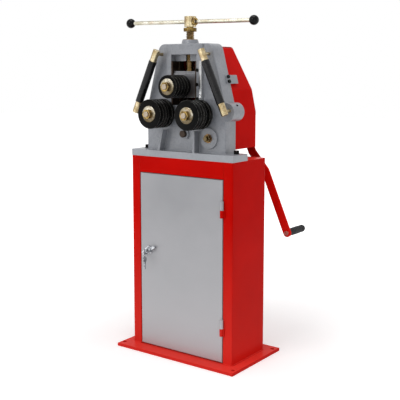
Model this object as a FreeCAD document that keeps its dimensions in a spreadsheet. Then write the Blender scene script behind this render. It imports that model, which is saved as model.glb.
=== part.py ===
"""Ring roller on a steel stand, as a parametric FreeCAD document.

Millimetres, +Z up.  The origin is on the floor, under the middle of the base plate.
The rollers point at -Y, which is the front of the machine.
"""
import FreeCAD
import Part
import Sketcher
import os
import re

# Driving sizes.  Heights named *_rise are measured from the top of the casting's foot.
SIZES = {
    # base plate and cabinet
    "plate_width": 550, "plate_depth": 330, "plate_thick": 12, "plate_edge": 1.5,
    "floor_hole_inset": 15, "floor_hole_row_inset": 27, "floor_hole_radius": 7,
    "cabinet_width": 470, "cabinet_depth": 220, "cabinet_height": 750, "cabinet_corner": 4,
    "sheet_thick": 2, "post_width": 39, "post_return": 22,
    "header_height": 62, "header_seam": 0.6, "top_thick": 4,
    # door, hinges and lock
    "lock_side_gap": 2.5, "hinge_side_gap": 4.5, "door_foot_gap": 4.5, "door_head_gap": 2.5,
    "door_return": 18, "door_corner": 2.5,
    "hinge_radius": 7, "hinge_pin_radius": 3.5, "door_knuckle": 33, "frame_knuckle": 28,
    "knuckle_seam": 0.4, "leaf_width": 8, "leaf_thick": 5.5, "pin_engagement": 20,
    "upper_hinge_height": 589, "lower_hinge_height": 149,
    "lock_inset": 43.5, "lock_height": 398, "barrel_radius": 10, "rosette_radius": 15,
    "rosette_thick": 4, "barrel_length": 26, "lever_hub_radius": 12, "lever_thick": 11,
    "lever_long_arm": 38, "lever_short_arm": 32, "lever_width": 11, "lever_tilt": 27,
    "lock_shaft_radius": 5, "cam_length": 52, "cam_width": 18, "cam_thick": 3,
    "plug_radius": 6, "plug_depth": 9, "key_thick": 2.2, "key_bow_width": 20, "key_bow_length": 22,
    "key_hole_radius": 3, "key_hole_edge": 4, "key_hole_drop": 1, "key_ring_radius": 11,
    "key_wire_radius": 0.9, "key_clearance": 0.2, "spare_bow_radius": 11, "spare_blade_width": 8,
    "spare_blade_length": 34,
    # casting
    "foot_thick": 25, "foot_depth": 96, "casting_back": 14, "head_depth": 64, "foot_flange": 53,
    "shoulder_rise": 160, "head_rise": 397, "top_half_width": 120.4, "top_corner": 28,
    "casting_edge": 4, "casting_wall": 12, "front_wall": 14,
    "band_half_width": 84, "band_proud": 9, "band_rise": 96, "band_edge": 8.5,
    "slot_half_width": 58.5, "slot_rise": 171, "slot_height": 187,
    "web_height": 24, "web_depth": 26, "screw_axis_depth": 46,
    "top_boss_radius": 29, "top_boss_flare": 4, "top_boss_height": 14.5,
    "roller_boss_radius": 38, "roller_boss_proud": 16, "inner_boss_wall": 11,
    "crank_boss_radius": 38, "crank_boss_proud": 7, "idler_boss_radius": 20, "idler_boss_proud": 8,
    "rib_thick": 10, "rib_proud": 30, "rib_rise": 79, "left_rib_top": 88, "left_rib_foot": 106,
    "right_rib_offset": 59, "ear_proud": 4, "ear_rise": 151, "ear_radius": 34,
    "foot_bolt_inset": 27, "foot_bolt_row": 46, "foot_bolt_radius": 6, "foot_bolt_head": 13,
    "foot_bolt_hex": 19, "foot_nut_thick": 10, "foot_bolt_end": 2, "bolt_clearance": 0.3,
    # slide block, gibs and pressure screw
    "block_rise": 201, "block_height": 96, "block_front": 80, "block_back": 20,
    "gib_thick": 6, "gib_clearance": 0.3, "gib_seat": 0.05, "tongue_height": 2.6, "tongue_width": 12,
    "gib_screw_radius": 3, "gib_screw_length": 10, "gib_screw_inset": 4, "gib_screw_pitch": 52,
    "gib_head_radius": 6, "gib_head_thick": 3,
    "retainer_thick": 8, "retainer_inset": 4, "retainer_clearance": 0.2,
    "spindle_radius": 15, "spindle_neck_radius": 10, "spindle_head_height": 14, "spindle_rise": 464,
    "nut_radius": 24, "nut_flange": 1.5, "nut_flange_width": 3,
    "jam_nut_rise": 441.4, "jam_nut_thick": 13.5, "jam_nut_hex": 46,
    "hub_rise": 458.3, "hub_radius": 22, "hub_height": 38.3, "bar_rise": 477, "bar_radius": 7.5,
    "bar_half_length": 252, "bar_turn": 10.7, "ball_radius": 18, "ball_socket": 13,
    # rollers and their shafts
    "roller_offset": 86, "roller_rise": 141, "roller_lift": 100.5, "shaft_radius": 15,
    "thread_radius": 11, "shaft_tip": 206, "shaft_back": 40, "ring_start": 98, "ring_end": 184,
    "lower_ring_radius": 54, "upper_ring_radius": 42, "groove_depth": 5, "ring_step": 6,
    "ring_chamfer": 1.2, "tip_chamfer": 2, "ring_gap": 0.3, "collar_radius": 21, "top_collar_thick": 4,
    "washer_radius": 30, "washer_thick": 4,
    "shaft_nut_thick": 13, "shaft_nut_hex": 32, "bush_wall": 4, "top_bush_length": 22,
    "running_fit": 0.05, "seat_fit": 0.02, "key_section": 6, "key_sink": 3,
    # gear train
    "gear_module": 3, "gear_teeth": 46, "idler_teeth": 30, "pinion_teeth": 14,
    "tooth_tip": 0.8, "tooth_root": 1, "tooth_thinning": 0.12, "gear_front": 9, "gear_width": 22,
    "idler_axle_radius": 10, "axle_head_radius": 13, "axle_head_thick": 13,
    "rear_plate_gap": 26, "rear_plate_thick": 12, "rear_plate_margin": 23, "rear_plate_side_gap": 7,
    "rear_plate_lip": 21.5, "pillar_radius": 8, "pillar_wall": 9, "pillar_inset": 12,
    # cover and its clips
    "cover_depth": 138, "cover_foot_gap": 12, "cover_sheet": 1.5, "cover_side_step": 0.5,
    "cover_shoulder_rise": 145, "cover_waist_step": 19, "cover_waist_rise": 229,
    "cover_top_step": 48.4, "cover_top_rise": 389, "cover_corner": 18,
    "clip_rise": 267.5, "clip_height": 31, "clip_thick": 3, "clip_front": 38, "clip_length": 72,
    "clip_foot": 26, "clip_screw_radius": 4, "clip_screw_depth": 10,
    "clip_screw_pitch": 17, "small_head_radius": 6.5, "small_head_thick": 6,
    # crank
    "crank_offset": 110, "crank_shaft_radius": 12.5, "crank_tip": 106, "crank_nut_hex": 24,
    "crank_nut_thick": 12, "crank_thread_radius": 8, "crank_shaft_end": 176,
    "crank_reach": 414, "crank_lean": 23.4, "arm_width": 32, "arm_thick": 8, "arm_plane": 165,
    "joggle": 45, "joggle_start": 74, "joggle_end": 156, "arm_hub_radius": 20, "arm_hub_length": 15,
    "cover_hole_radius": 17, "grip_radius": 15, "grip_length": 118, "grip_bolt_radius": 5,
    "grip_bolt_head": 9, "grip_bolt_head_thick": 6, "grip_wall": 9,
    # side guides
    "guide_plane": 118, "guide_top_inset": 12.4, "guide_top_rise": 359, "guide_foot_step": 14,
    "guide_foot_rise": 157, "guide_tube_radius": 15, "guide_rod_radius": 8, "guide_collar_radius": 13,
    "guide_collar_length": 44, "guide_collar_tip": 16, "guide_pin_radius": 6, "guide_pin_length": 84,
    "ear_screw_radius": 4, "ear_screw_turn": 28, "ear_screw_length": 17,
}

# Places and sizes that follow from the driving ones.
RULES = {
    "floor_hole_spacing": "plate_width - 2 * floor_hole_inset",
    "floor_hole_rows": "plate_depth - 2 * floor_hole_row_inset",
    "stand_top": "plate_thick + cabinet_height",
    "front_face": "cabinet_depth / 2",
    "post_edge": "cabinet_width / 2 - post_width",
    "header_foot": "stand_top - header_height",
    "door_left": "lock_side_gap - post_edge",
    "door_right": "post_edge - hinge_side_gap",
    "door_width": "door_right - door_left",
    "door_foot": "plate_thick + door_foot_gap",
    "door_height": "header_foot - door_head_gap - door_foot",
    "hinge_x": "(door_right + post_edge) / 2",
    "hinge_y": "0 - front_face - hinge_radius - bolt_clearance",
    "lock_x": "door_left + lock_inset",
    "barrel_back": "front_face - barrel_length",
    "lever_back": "front_face + rosette_thick + bolt_clearance",
    "lever_front": "lever_back + lever_thick",
    "key_front": "lever_front + key_bow_length",
    "key_hole_y": "0 - key_front + key_hole_radius + key_hole_edge",
    "key_hole_z": "lock_height - key_hole_drop",
    "key_slack": "key_hole_radius - key_wire_radius - key_clearance",
    "key_ring_z": "key_hole_z - key_slack - key_ring_radius",
    "spare_key_z": "key_ring_z - key_ring_radius - key_slack",
    "foot_top": "stand_top + foot_thick",
    "head_width": "cabinet_width - 2 * foot_flange",
    "foot_bolt_offset": "cabinet_width / 2 - foot_bolt_inset",
    "shoulder": "foot_top + shoulder_rise",
    "head_top": "foot_top + head_rise",
    "side_slope": "(head_width / 2 - top_half_width) / (head_top - shoulder)",
    "casting_front": "casting_back + head_depth",
    "band_front": "casting_front + band_proud",
    "slot_foot": "foot_top + slot_rise",
    "slot_top": "slot_foot + slot_height",
    "gib_screw_offset": "slot_half_width + gib_screw_inset",
    "web_foot": "slot_top - web_height",
    "roller_z": "foot_top + roller_rise",
    "top_roller_z": "roller_z + roller_lift",
    "roller_boss_front": "casting_front + roller_boss_proud",
    "crank_boss_front": "casting_front + crank_boss_proud",
    "idler_boss_front": "casting_front + idler_boss_proud",
    "bush_radius": "shaft_radius + bush_wall",
    "crank_bush_radius": "crank_shaft_radius + bush_wall",
    "gear_centres": "gear_module * (gear_teeth + idler_teeth) / 2",
    "idler_z": "roller_z - sqrt(gear_centres * gear_centres - roller_offset * roller_offset)",
    "pinion_centres": "gear_module * (gear_teeth + pinion_teeth) / 2",
    "pinion_side": "crank_offset - roller_offset",
    "crank_z": "roller_z - sqrt(pinion_centres * pinion_centres - pinion_side * pinion_side)",
    "ear_offset": "head_width / 2 + ear_proud",
    "ear_z": "foot_top + ear_rise",
    "guide_top_offset": "top_half_width - guide_top_inset",
    "guide_foot_offset": "ear_offset + guide_foot_step",
    "guide_top_z": "foot_top + guide_top_rise",
    "guide_foot_z": "foot_top + guide_foot_rise",
    "guide_side": "guide_foot_offset - guide_top_offset",
    "guide_drop": "guide_top_z - guide_foot_z",
    "guide_span": "sqrt(guide_side * guide_side + guide_drop * guide_drop)",
    "guide_lean": "atan2(guide_side; guide_drop) / (1 deg)",
    "tube_start": "0 - guide_collar_tip + guide_collar_length + gib_clearance",
    "tube_length": "guide_span + 2 * guide_collar_tip - 2 * guide_collar_length - 2 * gib_clearance",
    "block_foot": "foot_top + block_rise",
    "block_top": "block_foot + block_height",
    "retainer_foot": "block_top - retainer_thick",
    "block_half_width": "slot_half_width - gib_thick - gib_clearance",
    "spindle_top": "foot_top + spindle_rise",
    "bar_z": "foot_top + bar_rise",
    "rear_plate_front": "0 - rear_plate_gap",
    "rear_plate_back": "rear_plate_front - rear_plate_thick",
    "rear_plate_left": "0 - roller_offset - bush_radius - rear_plate_margin",
    "rear_plate_right": "cover_waist_half_width - rear_plate_side_gap",
    "rear_plate_foot": "crank_z - crank_bush_radius - rear_plate_lip",
    "rear_plate_top": "roller_z + bush_radius + rear_plate_margin",
    "gear_back": "gear_front - gear_width",
    "cover_back": "casting_back - cover_depth",
    "cover_half_width": "head_width / 2 - cover_side_step",
    "cover_waist_half_width": "head_width / 2 - cover_waist_step",
    "cover_top_half_width": "top_half_width - cover_top_step",
    "cover_roof": "(cover_waist_half_width - cover_top_half_width) / (cover_top_rise - cover_waist_rise)",
    "clip_z": "foot_top + clip_rise",
    "top_boss_z": "head_top + top_boss_height",
}

doc = FreeCAD.newDocument("ring_roller")
sheet = doc.addObject("Spreadsheet::Sheet", "Sizes")
for row, (alias, value) in enumerate(SIZES.items(), start=1):
    sheet.set(f"A{row}", alias)
    sheet.set(f"B{row}", str(value))
    sheet.setAlias(f"B{row}", alias)
doc.recompute()

nodes = []
cuts = []


def formula(text):
    """Turn words that are sizes or rules into an expression on the spreadsheet."""
    def word(match):
        name = match.group(0)
        if name in RULES:
            return "(" + formula(RULES[name]) + ")"
        return "Sizes." + name if name in SIZES else name
    return re.sub(r"[a-z][a-z_]*", word, text)


def number(text):
    value = sheet.evalExpression(formula(text))
    return float(getattr(value, "Value", value))


def bind(item, **sizes):
    for name, text in sizes.items():
        item.setExpression(name, formula(text))


# ---- places -------------------------------------------------------------------------------------

def place(x="0", y="0", z="0", turn="rotation(vector(0; 0; 1); 0)"):
    return f"placement(vector({x}; {y}; {z}); {turn})"


def turned_by(axis, angle):
    return f"rotation(vector({axis}); {angle})"


FRONT = turned_by("1; 0; 0", "90")
REAR = turned_by("1; 0; 0", "0 - 90")


def facing_front(x="0", z="0", depth="0"):
    """Local x is X, local y is Z, and local z is the distance in front of the XZ plane."""
    return place(x, f"0 - ({depth})", z, FRONT)


# ---- sketches and features ----------------------------------------------------------------------

def new_body(name, where):
    body = doc.addObject("PartDesign::Body", name)
    bind(body, Placement=where)
    return body


def origin_item(body, role):
    return next(item for item in body.Origin.OriginFeatures if item.Role == role)


def hold(sketch, kind, where, text):
    index = sketch.addConstraint(Sketcher.Constraint(kind, *where, number(text)))
    sketch.setExpression(f"Constraints[{index}]", formula(text))


def draw(body, name, role, height="0", loops=(), circles=()):
    """Sketch closed polygons and circles, each point and radius held by its own formula."""
    sketch = body.newObject("Sketcher::SketchObject", name)
    sketch.AttachmentSupport = [(origin_item(body, role), "")]
    sketch.MapMode = "FlatFace"
    bind(sketch, **{"AttachmentOffset.Base.z": height})
    for corners in loops:
        first = sketch.GeometryCount
        points = [FreeCAD.Vector(number(x), number(y), 0) for x, y in corners]
        for here, there in zip(points, points[1:] + points[:1]):
            sketch.addGeometry(Part.LineSegment(here, there))
        for index, (x, y) in enumerate(corners):
            line = first + index
            previous = first + (index - 1) % len(corners)
            sketch.addConstraint(Sketcher.Constraint("Coincident", previous, 2, line, 1))
            hold(sketch, "DistanceX", (-1, 1, line, 1), x)
            hold(sketch, "DistanceY", (-1, 1, line, 1), y)
    for x, y, radius in circles:
        ring = sketch.GeometryCount
        centre = FreeCAD.Vector(number(x), number(y), 0)
        sketch.addGeometry(Part.Circle(centre, FreeCAD.Vector(0, 0, 1), number(radius)))
        hold(sketch, "Radius", (ring,), radius)
        hold(sketch, "DistanceX", (-1, 1, ring, 3), x)
        hold(sketch, "DistanceY", (-1, 1, ring, 3), y)
    return sketch


def feature(body, kind, name, sketch):
    item = body.newObject("PartDesign::" + kind, name)
    item.Profile = sketch
    body.Tip = item
    return item


def pad(body, name, length, height="0", role="XY_Plane", loops=(), circles=()):
    sketch = draw(body, name + "_sketch", role, height, loops, circles)
    item = feature(body, "Pad", name, sketch)
    bind(item, Length=length)
    return item


def pocket(body, name, length, height="0", role="XY_Plane", loops=(), circles=()):
    """Cut from the sketch against its normal, and remember the cut so it can be checked."""
    before = body.Tip
    sketch = draw(body, name + "_sketch", role, height, loops, circles)
    item = feature(body, "Pocket", name, sketch)
    bind(item, Length=length)
    cuts.append((before, item))
    return item


def revolve(body, name, corners, kind="Revolution", role="XZ_Plane", height="0"):
    before = body.Tip
    sketch = draw(body, name + "_sketch", role, height, [corners])
    item = feature(body, kind, name, sketch)
    item.ReferenceAxis = (sketch, ["V_Axis"])
    item.Angle = 360
    if kind == "Groove":
        cuts.append((before, item))
    return item


def round_edges(body, name, radius, chosen):
    doc.recompute()
    base = body.Tip
    edges = [f"Edge{i}" for i, edge in enumerate(base.Shape.Edges, start=1) if chosen(edge)]
    item = body.newObject("PartDesign::Fillet", name)
    item.Base = (base, edges)
    bind(item, Radius=radius)
    body.Tip = item
    return item


def lies_at(edge, axis, value):
    """True when both ends of an edge have the given coordinate, in the body's own frame."""
    return all(abs(getattr(vertex.Point, axis) - value) < 0.01 for vertex in edge.Vertexes)


def runs_along(edge, axis):
    ends = [vertex.Point for vertex in edge.Vertexes]
    if len(ends) < 2:
        return False
    span = ends[1] - ends[0]
    return span.Length > 0.1 and abs(getattr(span, axis)) > 0.999 * span.Length


# ---- whole pieces -------------------------------------------------------------------------------

def keep(item, name):
    item.Label = name
    nodes.append(item)
    return item


def turned(name, corners, where):
    """A turned piece: corners are (radius, height) along the local z axis."""
    body = new_body(name, where)
    revolve(body, name + "_turning", corners)
    return body


def ring(name, outer, inner, length, where):
    return turned(name, [(inner, "0"), (outer, "0"), (outer, length), (inner, length)], where)


def rod(name, radius, length, where):
    return turned(name, [("0", "0"), (radius, "0"), (radius, length), ("0", length)], where)


def solid(kind, name, where, **sizes):
    item = doc.addObject("Part::" + kind, name)
    bind(item, Placement=where, **sizes)
    return item


def box(name, x, y, z, length, width, height):
    return solid("Box", name, place(x, y, z), Length=length, Width=width, Height=height)


def joined(name, *items):
    item = doc.addObject("Part::MultiFuse", name)
    item.Shapes = list(items)
    return item


def less(name, base, *tools):
    tool = tools[0] if len(tools) == 1 else joined(name + "_tools", *tools)
    item = doc.addObject("Part::Cut", name)
    item.Base = base
    item.Tool = tool
    cuts.append((base, item))
    return item


def group(name, *items):
    """Separate solids of one kind that share a node."""
    item = doc.addObject("Part::Compound", name)
    item.Links = list(items)
    return keep(item, name)


def hexagon(across):
    """Corners of a hexagon, from its width across the flats."""
    tip = f"{across} / sqrt(3)"
    return [(f"{tip} * cos({60 * i})", f"{tip} * sin({60 * i})") for i in range(6)]


def hex_nut(name, across, thick, bore, where):
    body = new_body(name, where)
    pad(body, name + "_blank", thick, loops=[hexagon(across)], circles=[("0", "0", bore)])
    return body


def both_sides(x, y, radius):
    return [(x, y, radius), (f"0 - ({x})", y, radius)]


def mirrored(corners):
    """An outline symmetric about x = 0, from the corners of its right half."""
    return corners + [(f"0 - ({x})", y) for x, y in reversed(corners)]


# ---- stand --------------------------------------------------------------------------------------

def base_plate():
    body = new_body("base_plate", place())
    corner = [("plate_width / 2", "0 - plate_depth / 2"), ("plate_width / 2", "plate_depth / 2")]
    holes = [hole for row in ("floor_hole_rows / 2", "0 - floor_hole_rows / 2")
             for hole in both_sides("floor_hole_spacing / 2", row, "floor_hole_radius")]
    pad(body, "plate", "plate_thick", loops=[mirrored(corner)], circles=holes)
    top = number("plate_thick")
    round_edges(body, "plate_rounding", "plate_edge",
                lambda edge: lies_at(edge, "z", top) and len(edge.Vertexes) == 2)
    keep(body, "base_plate")


def cabinet_body():
    """One folded sheet: back, sides and front posts with their returns, open at the door."""
    body = new_body("cabinet_body", place(z="plate_thick"))
    outside = "cabinet_width / 2"
    inside = "cabinet_width / 2 - sheet_thick"
    fold = "post_edge + sheet_thick"
    front, inner_front = "0 - front_face", "sheet_thick - front_face"
    back, inner_back = "front_face", "front_face - sheet_thick"
    flange = "post_return - front_face"
    outline = [("0 - post_edge", front), (f"0 - ({outside})", front), (f"0 - ({outside})", back),
               (outside, back), (outside, front), ("post_edge", front), ("post_edge", flange),
               (fold, flange), (fold, inner_front), (inside, inner_front), (inside, inner_back),
               (f"0 - ({inside})", inner_back), (f"0 - ({inside})", inner_front),
               (f"0 - ({fold})", inner_front), (f"0 - ({fold})", flange), ("0 - post_edge", flange)]
    pad(body, "folded_sheet", "cabinet_height - top_thick", loops=[outline])
    half = number("cabinet_width / 2")
    round_edges(body, "sheet_folds", "cabinet_corner",
                lambda edge: runs_along(edge, "z") and abs(abs(edge.Vertexes[0].X) - half) < 0.01)
    keep(body, "cabinet_body")


def cabinet_top():
    body = new_body("top_plate", place(z="stand_top - top_thick"))
    corner = [("cabinet_width / 2", "0 - front_face"), ("cabinet_width / 2", "front_face")]
    pad(body, "top_sheet", "top_thick", loops=[mirrored(corner)],
        circles=both_sides("foot_bolt_offset", "0 - foot_bolt_row", "foot_bolt_radius + bolt_clearance"))
    round_edges(body, "top_corners", "cabinet_corner",
                lambda edge: runs_along(edge, "z") and len(edge.Vertexes) == 2)
    keep(body, "top_plate")


def header_rail():
    half = "post_edge - header_seam"
    height = "header_height - top_thick"
    outer = box("header_outer", "header_seam - post_edge", "0 - front_face", "header_foot",
                f"2 * ({half})", "post_return", height)
    hollow = box("header_hollow", "header_seam - post_edge - 1", "sheet_thick - front_face",
                 "header_foot + sheet_thick", f"2 * ({half}) + 2", "post_return",
                 f"{height} - 2 * sheet_thick")
    keep(less("header_rail", outer, hollow), "header_rail")


# ---- door, hinges and lock ----------------------------------------------------------------------

def door_panel():
    body = new_body("door_panel", facing_front("door_left", "door_foot", "front_face - door_return"))
    outline = [("0", "0"), ("door_width", "0"), ("door_width", "door_height"), ("0", "door_height")]
    hollow = [("sheet_thick", "sheet_thick"), ("door_width - sheet_thick", "sheet_thick"),
              ("door_width - sheet_thick", "door_height - sheet_thick"),
              ("sheet_thick", "door_height - sheet_thick")]
    pad(body, "door_blank", "door_return", loops=[outline])
    front = number("door_return")
    round_edges(body, "door_rounding", "door_corner", lambda edge: lies_at(edge, "z", front))
    pocket(body, "door_hollow", "door_return - sheet_thick", height="door_return - sheet_thick",
           loops=[hollow])
    pocket(body, "lock_hole", "door_return + 2", height="door_return + 1",
           circles=[("lock_inset", "lock_height - door_foot", "barrel_radius + bolt_clearance")])
    keep(body, "door_panel")


def hinges():
    """Lift-off hinges: a pin stands in the frame knuckle and the door knuckle drops over it."""
    frame_knuckles, door_knuckles, pins = [], [], []
    half_seam = "knuckle_seam / 2"
    for level in ("upper", "lower"):
        seam = f"{level}_hinge_height"
        foot = f"{seam} - frame_knuckle"
        knuckle = rod(f"{level}_frame_barrel", "hinge_radius", f"frame_knuckle - {half_seam}",
                      place("hinge_x", "hinge_y", foot))
        leaf = box(f"{level}_frame_leaf", "post_edge", "0 - front_face - leaf_thick", foot,
                   "leaf_width", "leaf_thick", f"frame_knuckle - {half_seam}")
        bore = rod(f"{level}_frame_bore", "hinge_pin_radius + seat_fit", "frame_knuckle + 2",
                   place("hinge_x", "hinge_y", f"{foot} - 1"))
        frame_knuckles.append(less(f"{level}_frame_knuckle",
                                   joined(f"{level}_frame_hinge", knuckle, leaf), bore))
        knuckle = rod(f"{level}_door_barrel", "hinge_radius", f"door_knuckle - {half_seam}",
                      place("hinge_x", "hinge_y", f"{seam} + {half_seam}"))
        leaf = box(f"{level}_door_leaf", "door_right - leaf_width", "0 - front_face - leaf_thick",
                   f"{seam} + {half_seam}", "leaf_width", "leaf_thick", f"door_knuckle - {half_seam}")
        bore = rod(f"{level}_door_bore", "hinge_pin_radius + running_fit", "pin_engagement + 1",
                   place("hinge_x", "hinge_y", seam))
        door_knuckles.append(less(f"{level}_door_knuckle",
                                  joined(f"{level}_door_hinge", knuckle, leaf), bore))
        pins.append(rod(f"{level}_hinge_pin", "hinge_pin_radius", "frame_knuckle + pin_engagement",
                        place("hinge_x", "hinge_y", foot)))
    group("frame_knuckles", *frame_knuckles)
    group("door_knuckles", *door_knuckles)
    group("hinge_pins", *pins)


def door_lock():
    """Wing handle on a shaft through a barrel in the door; its cam hangs down when unlocked."""
    barrel = [("lock_shaft_radius + running_fit", "0"), ("barrel_radius", "0"),
              ("barrel_radius", "barrel_length"), ("rosette_radius", "barrel_length"),
              ("rosette_radius", "barrel_length + rosette_thick"),
              ("lock_shaft_radius + running_fit", "barrel_length + rosette_thick")]
    keep(turned("lock_barrel", barrel, facing_front("lock_x", "lock_height", "barrel_back")),
         "lock_barrel")

    cam_front = "barrel_back - bolt_clearance"
    cam_back = f"{cam_front} - cam_thick"
    lever = new_body("lock_lever", facing_front("lock_x", "lock_height", "lever_back"))
    half = "lever_width / 2"
    lean = "lever_tilt"
    corners = [("0 - lever_short_arm", f"0 - {half}"), ("lever_long_arm", f"0 - {half}"),
               ("lever_long_arm", half), ("0 - lever_short_arm", half)]
    wing = [(f"({x}) * cos({lean}) - ({y}) * sin({lean})", f"({x}) * sin({lean}) + ({y}) * cos({lean})")
            for x, y in corners]
    pad(lever, "wing", "lever_thick - 2", height="1", loops=[wing])
    round_edges(lever, "wing_ends", "lever_width / 2 - 0.3", lambda edge: runs_along(edge, "z"))
    pad(lever, "lever_hub", "lever_thick", circles=[("0", "0", "lever_hub_radius")])
    pad(lever, "lock_shaft", f"lever_back - ({cam_back}) + 2", height=f"{cam_back} - 2 - lever_back",
        circles=[("0", "0", "lock_shaft_radius")])
    pocket(lever, "plug_bore", "plug_depth", height="lever_thick",
           circles=[("0", "0", "plug_radius + running_fit")])
    keep(lever, "lock_lever")

    cam = new_body("lock_cam", facing_front("lock_x", "lock_height", cam_back))
    outline = mirrored([("cam_width / 2", "0 - cam_length"), ("cam_width / 2", "cam_width / 2")])
    pad(cam, "cam_bar", "cam_thick", loops=[outline],
        circles=[("0", "0", "lock_shaft_radius + seat_fit")])
    round_edges(cam, "cam_ends", "cam_width / 4",
                lambda edge: runs_along(edge, "z") and len(edge.Vertexes) == 2)
    keep(cam, "lock_cam")


def keys():
    """The key in the plug, the split ring in its bow, and a second key hanging edge-on."""
    plug = rod("plug", "plug_radius", "plug_depth + 1 - bolt_clearance",
               facing_front("lock_x", "lock_height", "lever_front - plug_depth + bolt_clearance"))
    bow = box("key_bow", "lock_x - key_thick / 2", "0 - key_front",
              "key_hole_z + key_hole_radius + key_hole_edge - key_bow_width", "key_thick",
              "key_bow_length - 1", "key_bow_width")
    hole = rod("key_hole", "key_hole_radius", "key_thick + 2",
               place("lock_x - key_thick / 2 - 1", "key_hole_y", "key_hole_z",
                     turned_by("0; 1; 0", "90")))
    keep(less("lock_key", joined("lock_key_blank", plug, bow), hole), "lock_key")

    split_ring = solid("Torus", "key_ring", place("lock_x", "key_hole_y", "key_ring_z", FRONT),
                       Radius1="key_ring_radius", Radius2="key_wire_radius")
    keep(split_ring, "key_ring")

    spare = new_body("spare_key", place("lock_x - key_thick / 2", "key_hole_y", "spare_key_z",
                                        turned_by("0; 1; 0", "90")))
    start, end = "key_hole_radius + 1", "spare_bow_radius + spare_blade_length"
    half = "spare_blade_width / 2"
    blade = [(start, f"0 - {half}"), (end, f"0 - {half}"), (end, half), (start, half)]
    centre = "spare_bow_radius - key_hole_radius - 2"
    pad(spare, "spare_bow", "key_thick", circles=[(centre, "0", "spare_bow_radius")])
    pad(spare, "spare_blade", "key_thick", loops=[blade])
    pocket(spare, "spare_hole", "key_thick + 2", height="key_thick + 1",
           circles=[("0", "0", "key_hole_radius")])
    keep(spare, "spare_key")


# ---- cast head ----------------------------------------------------------------------------------

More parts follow.
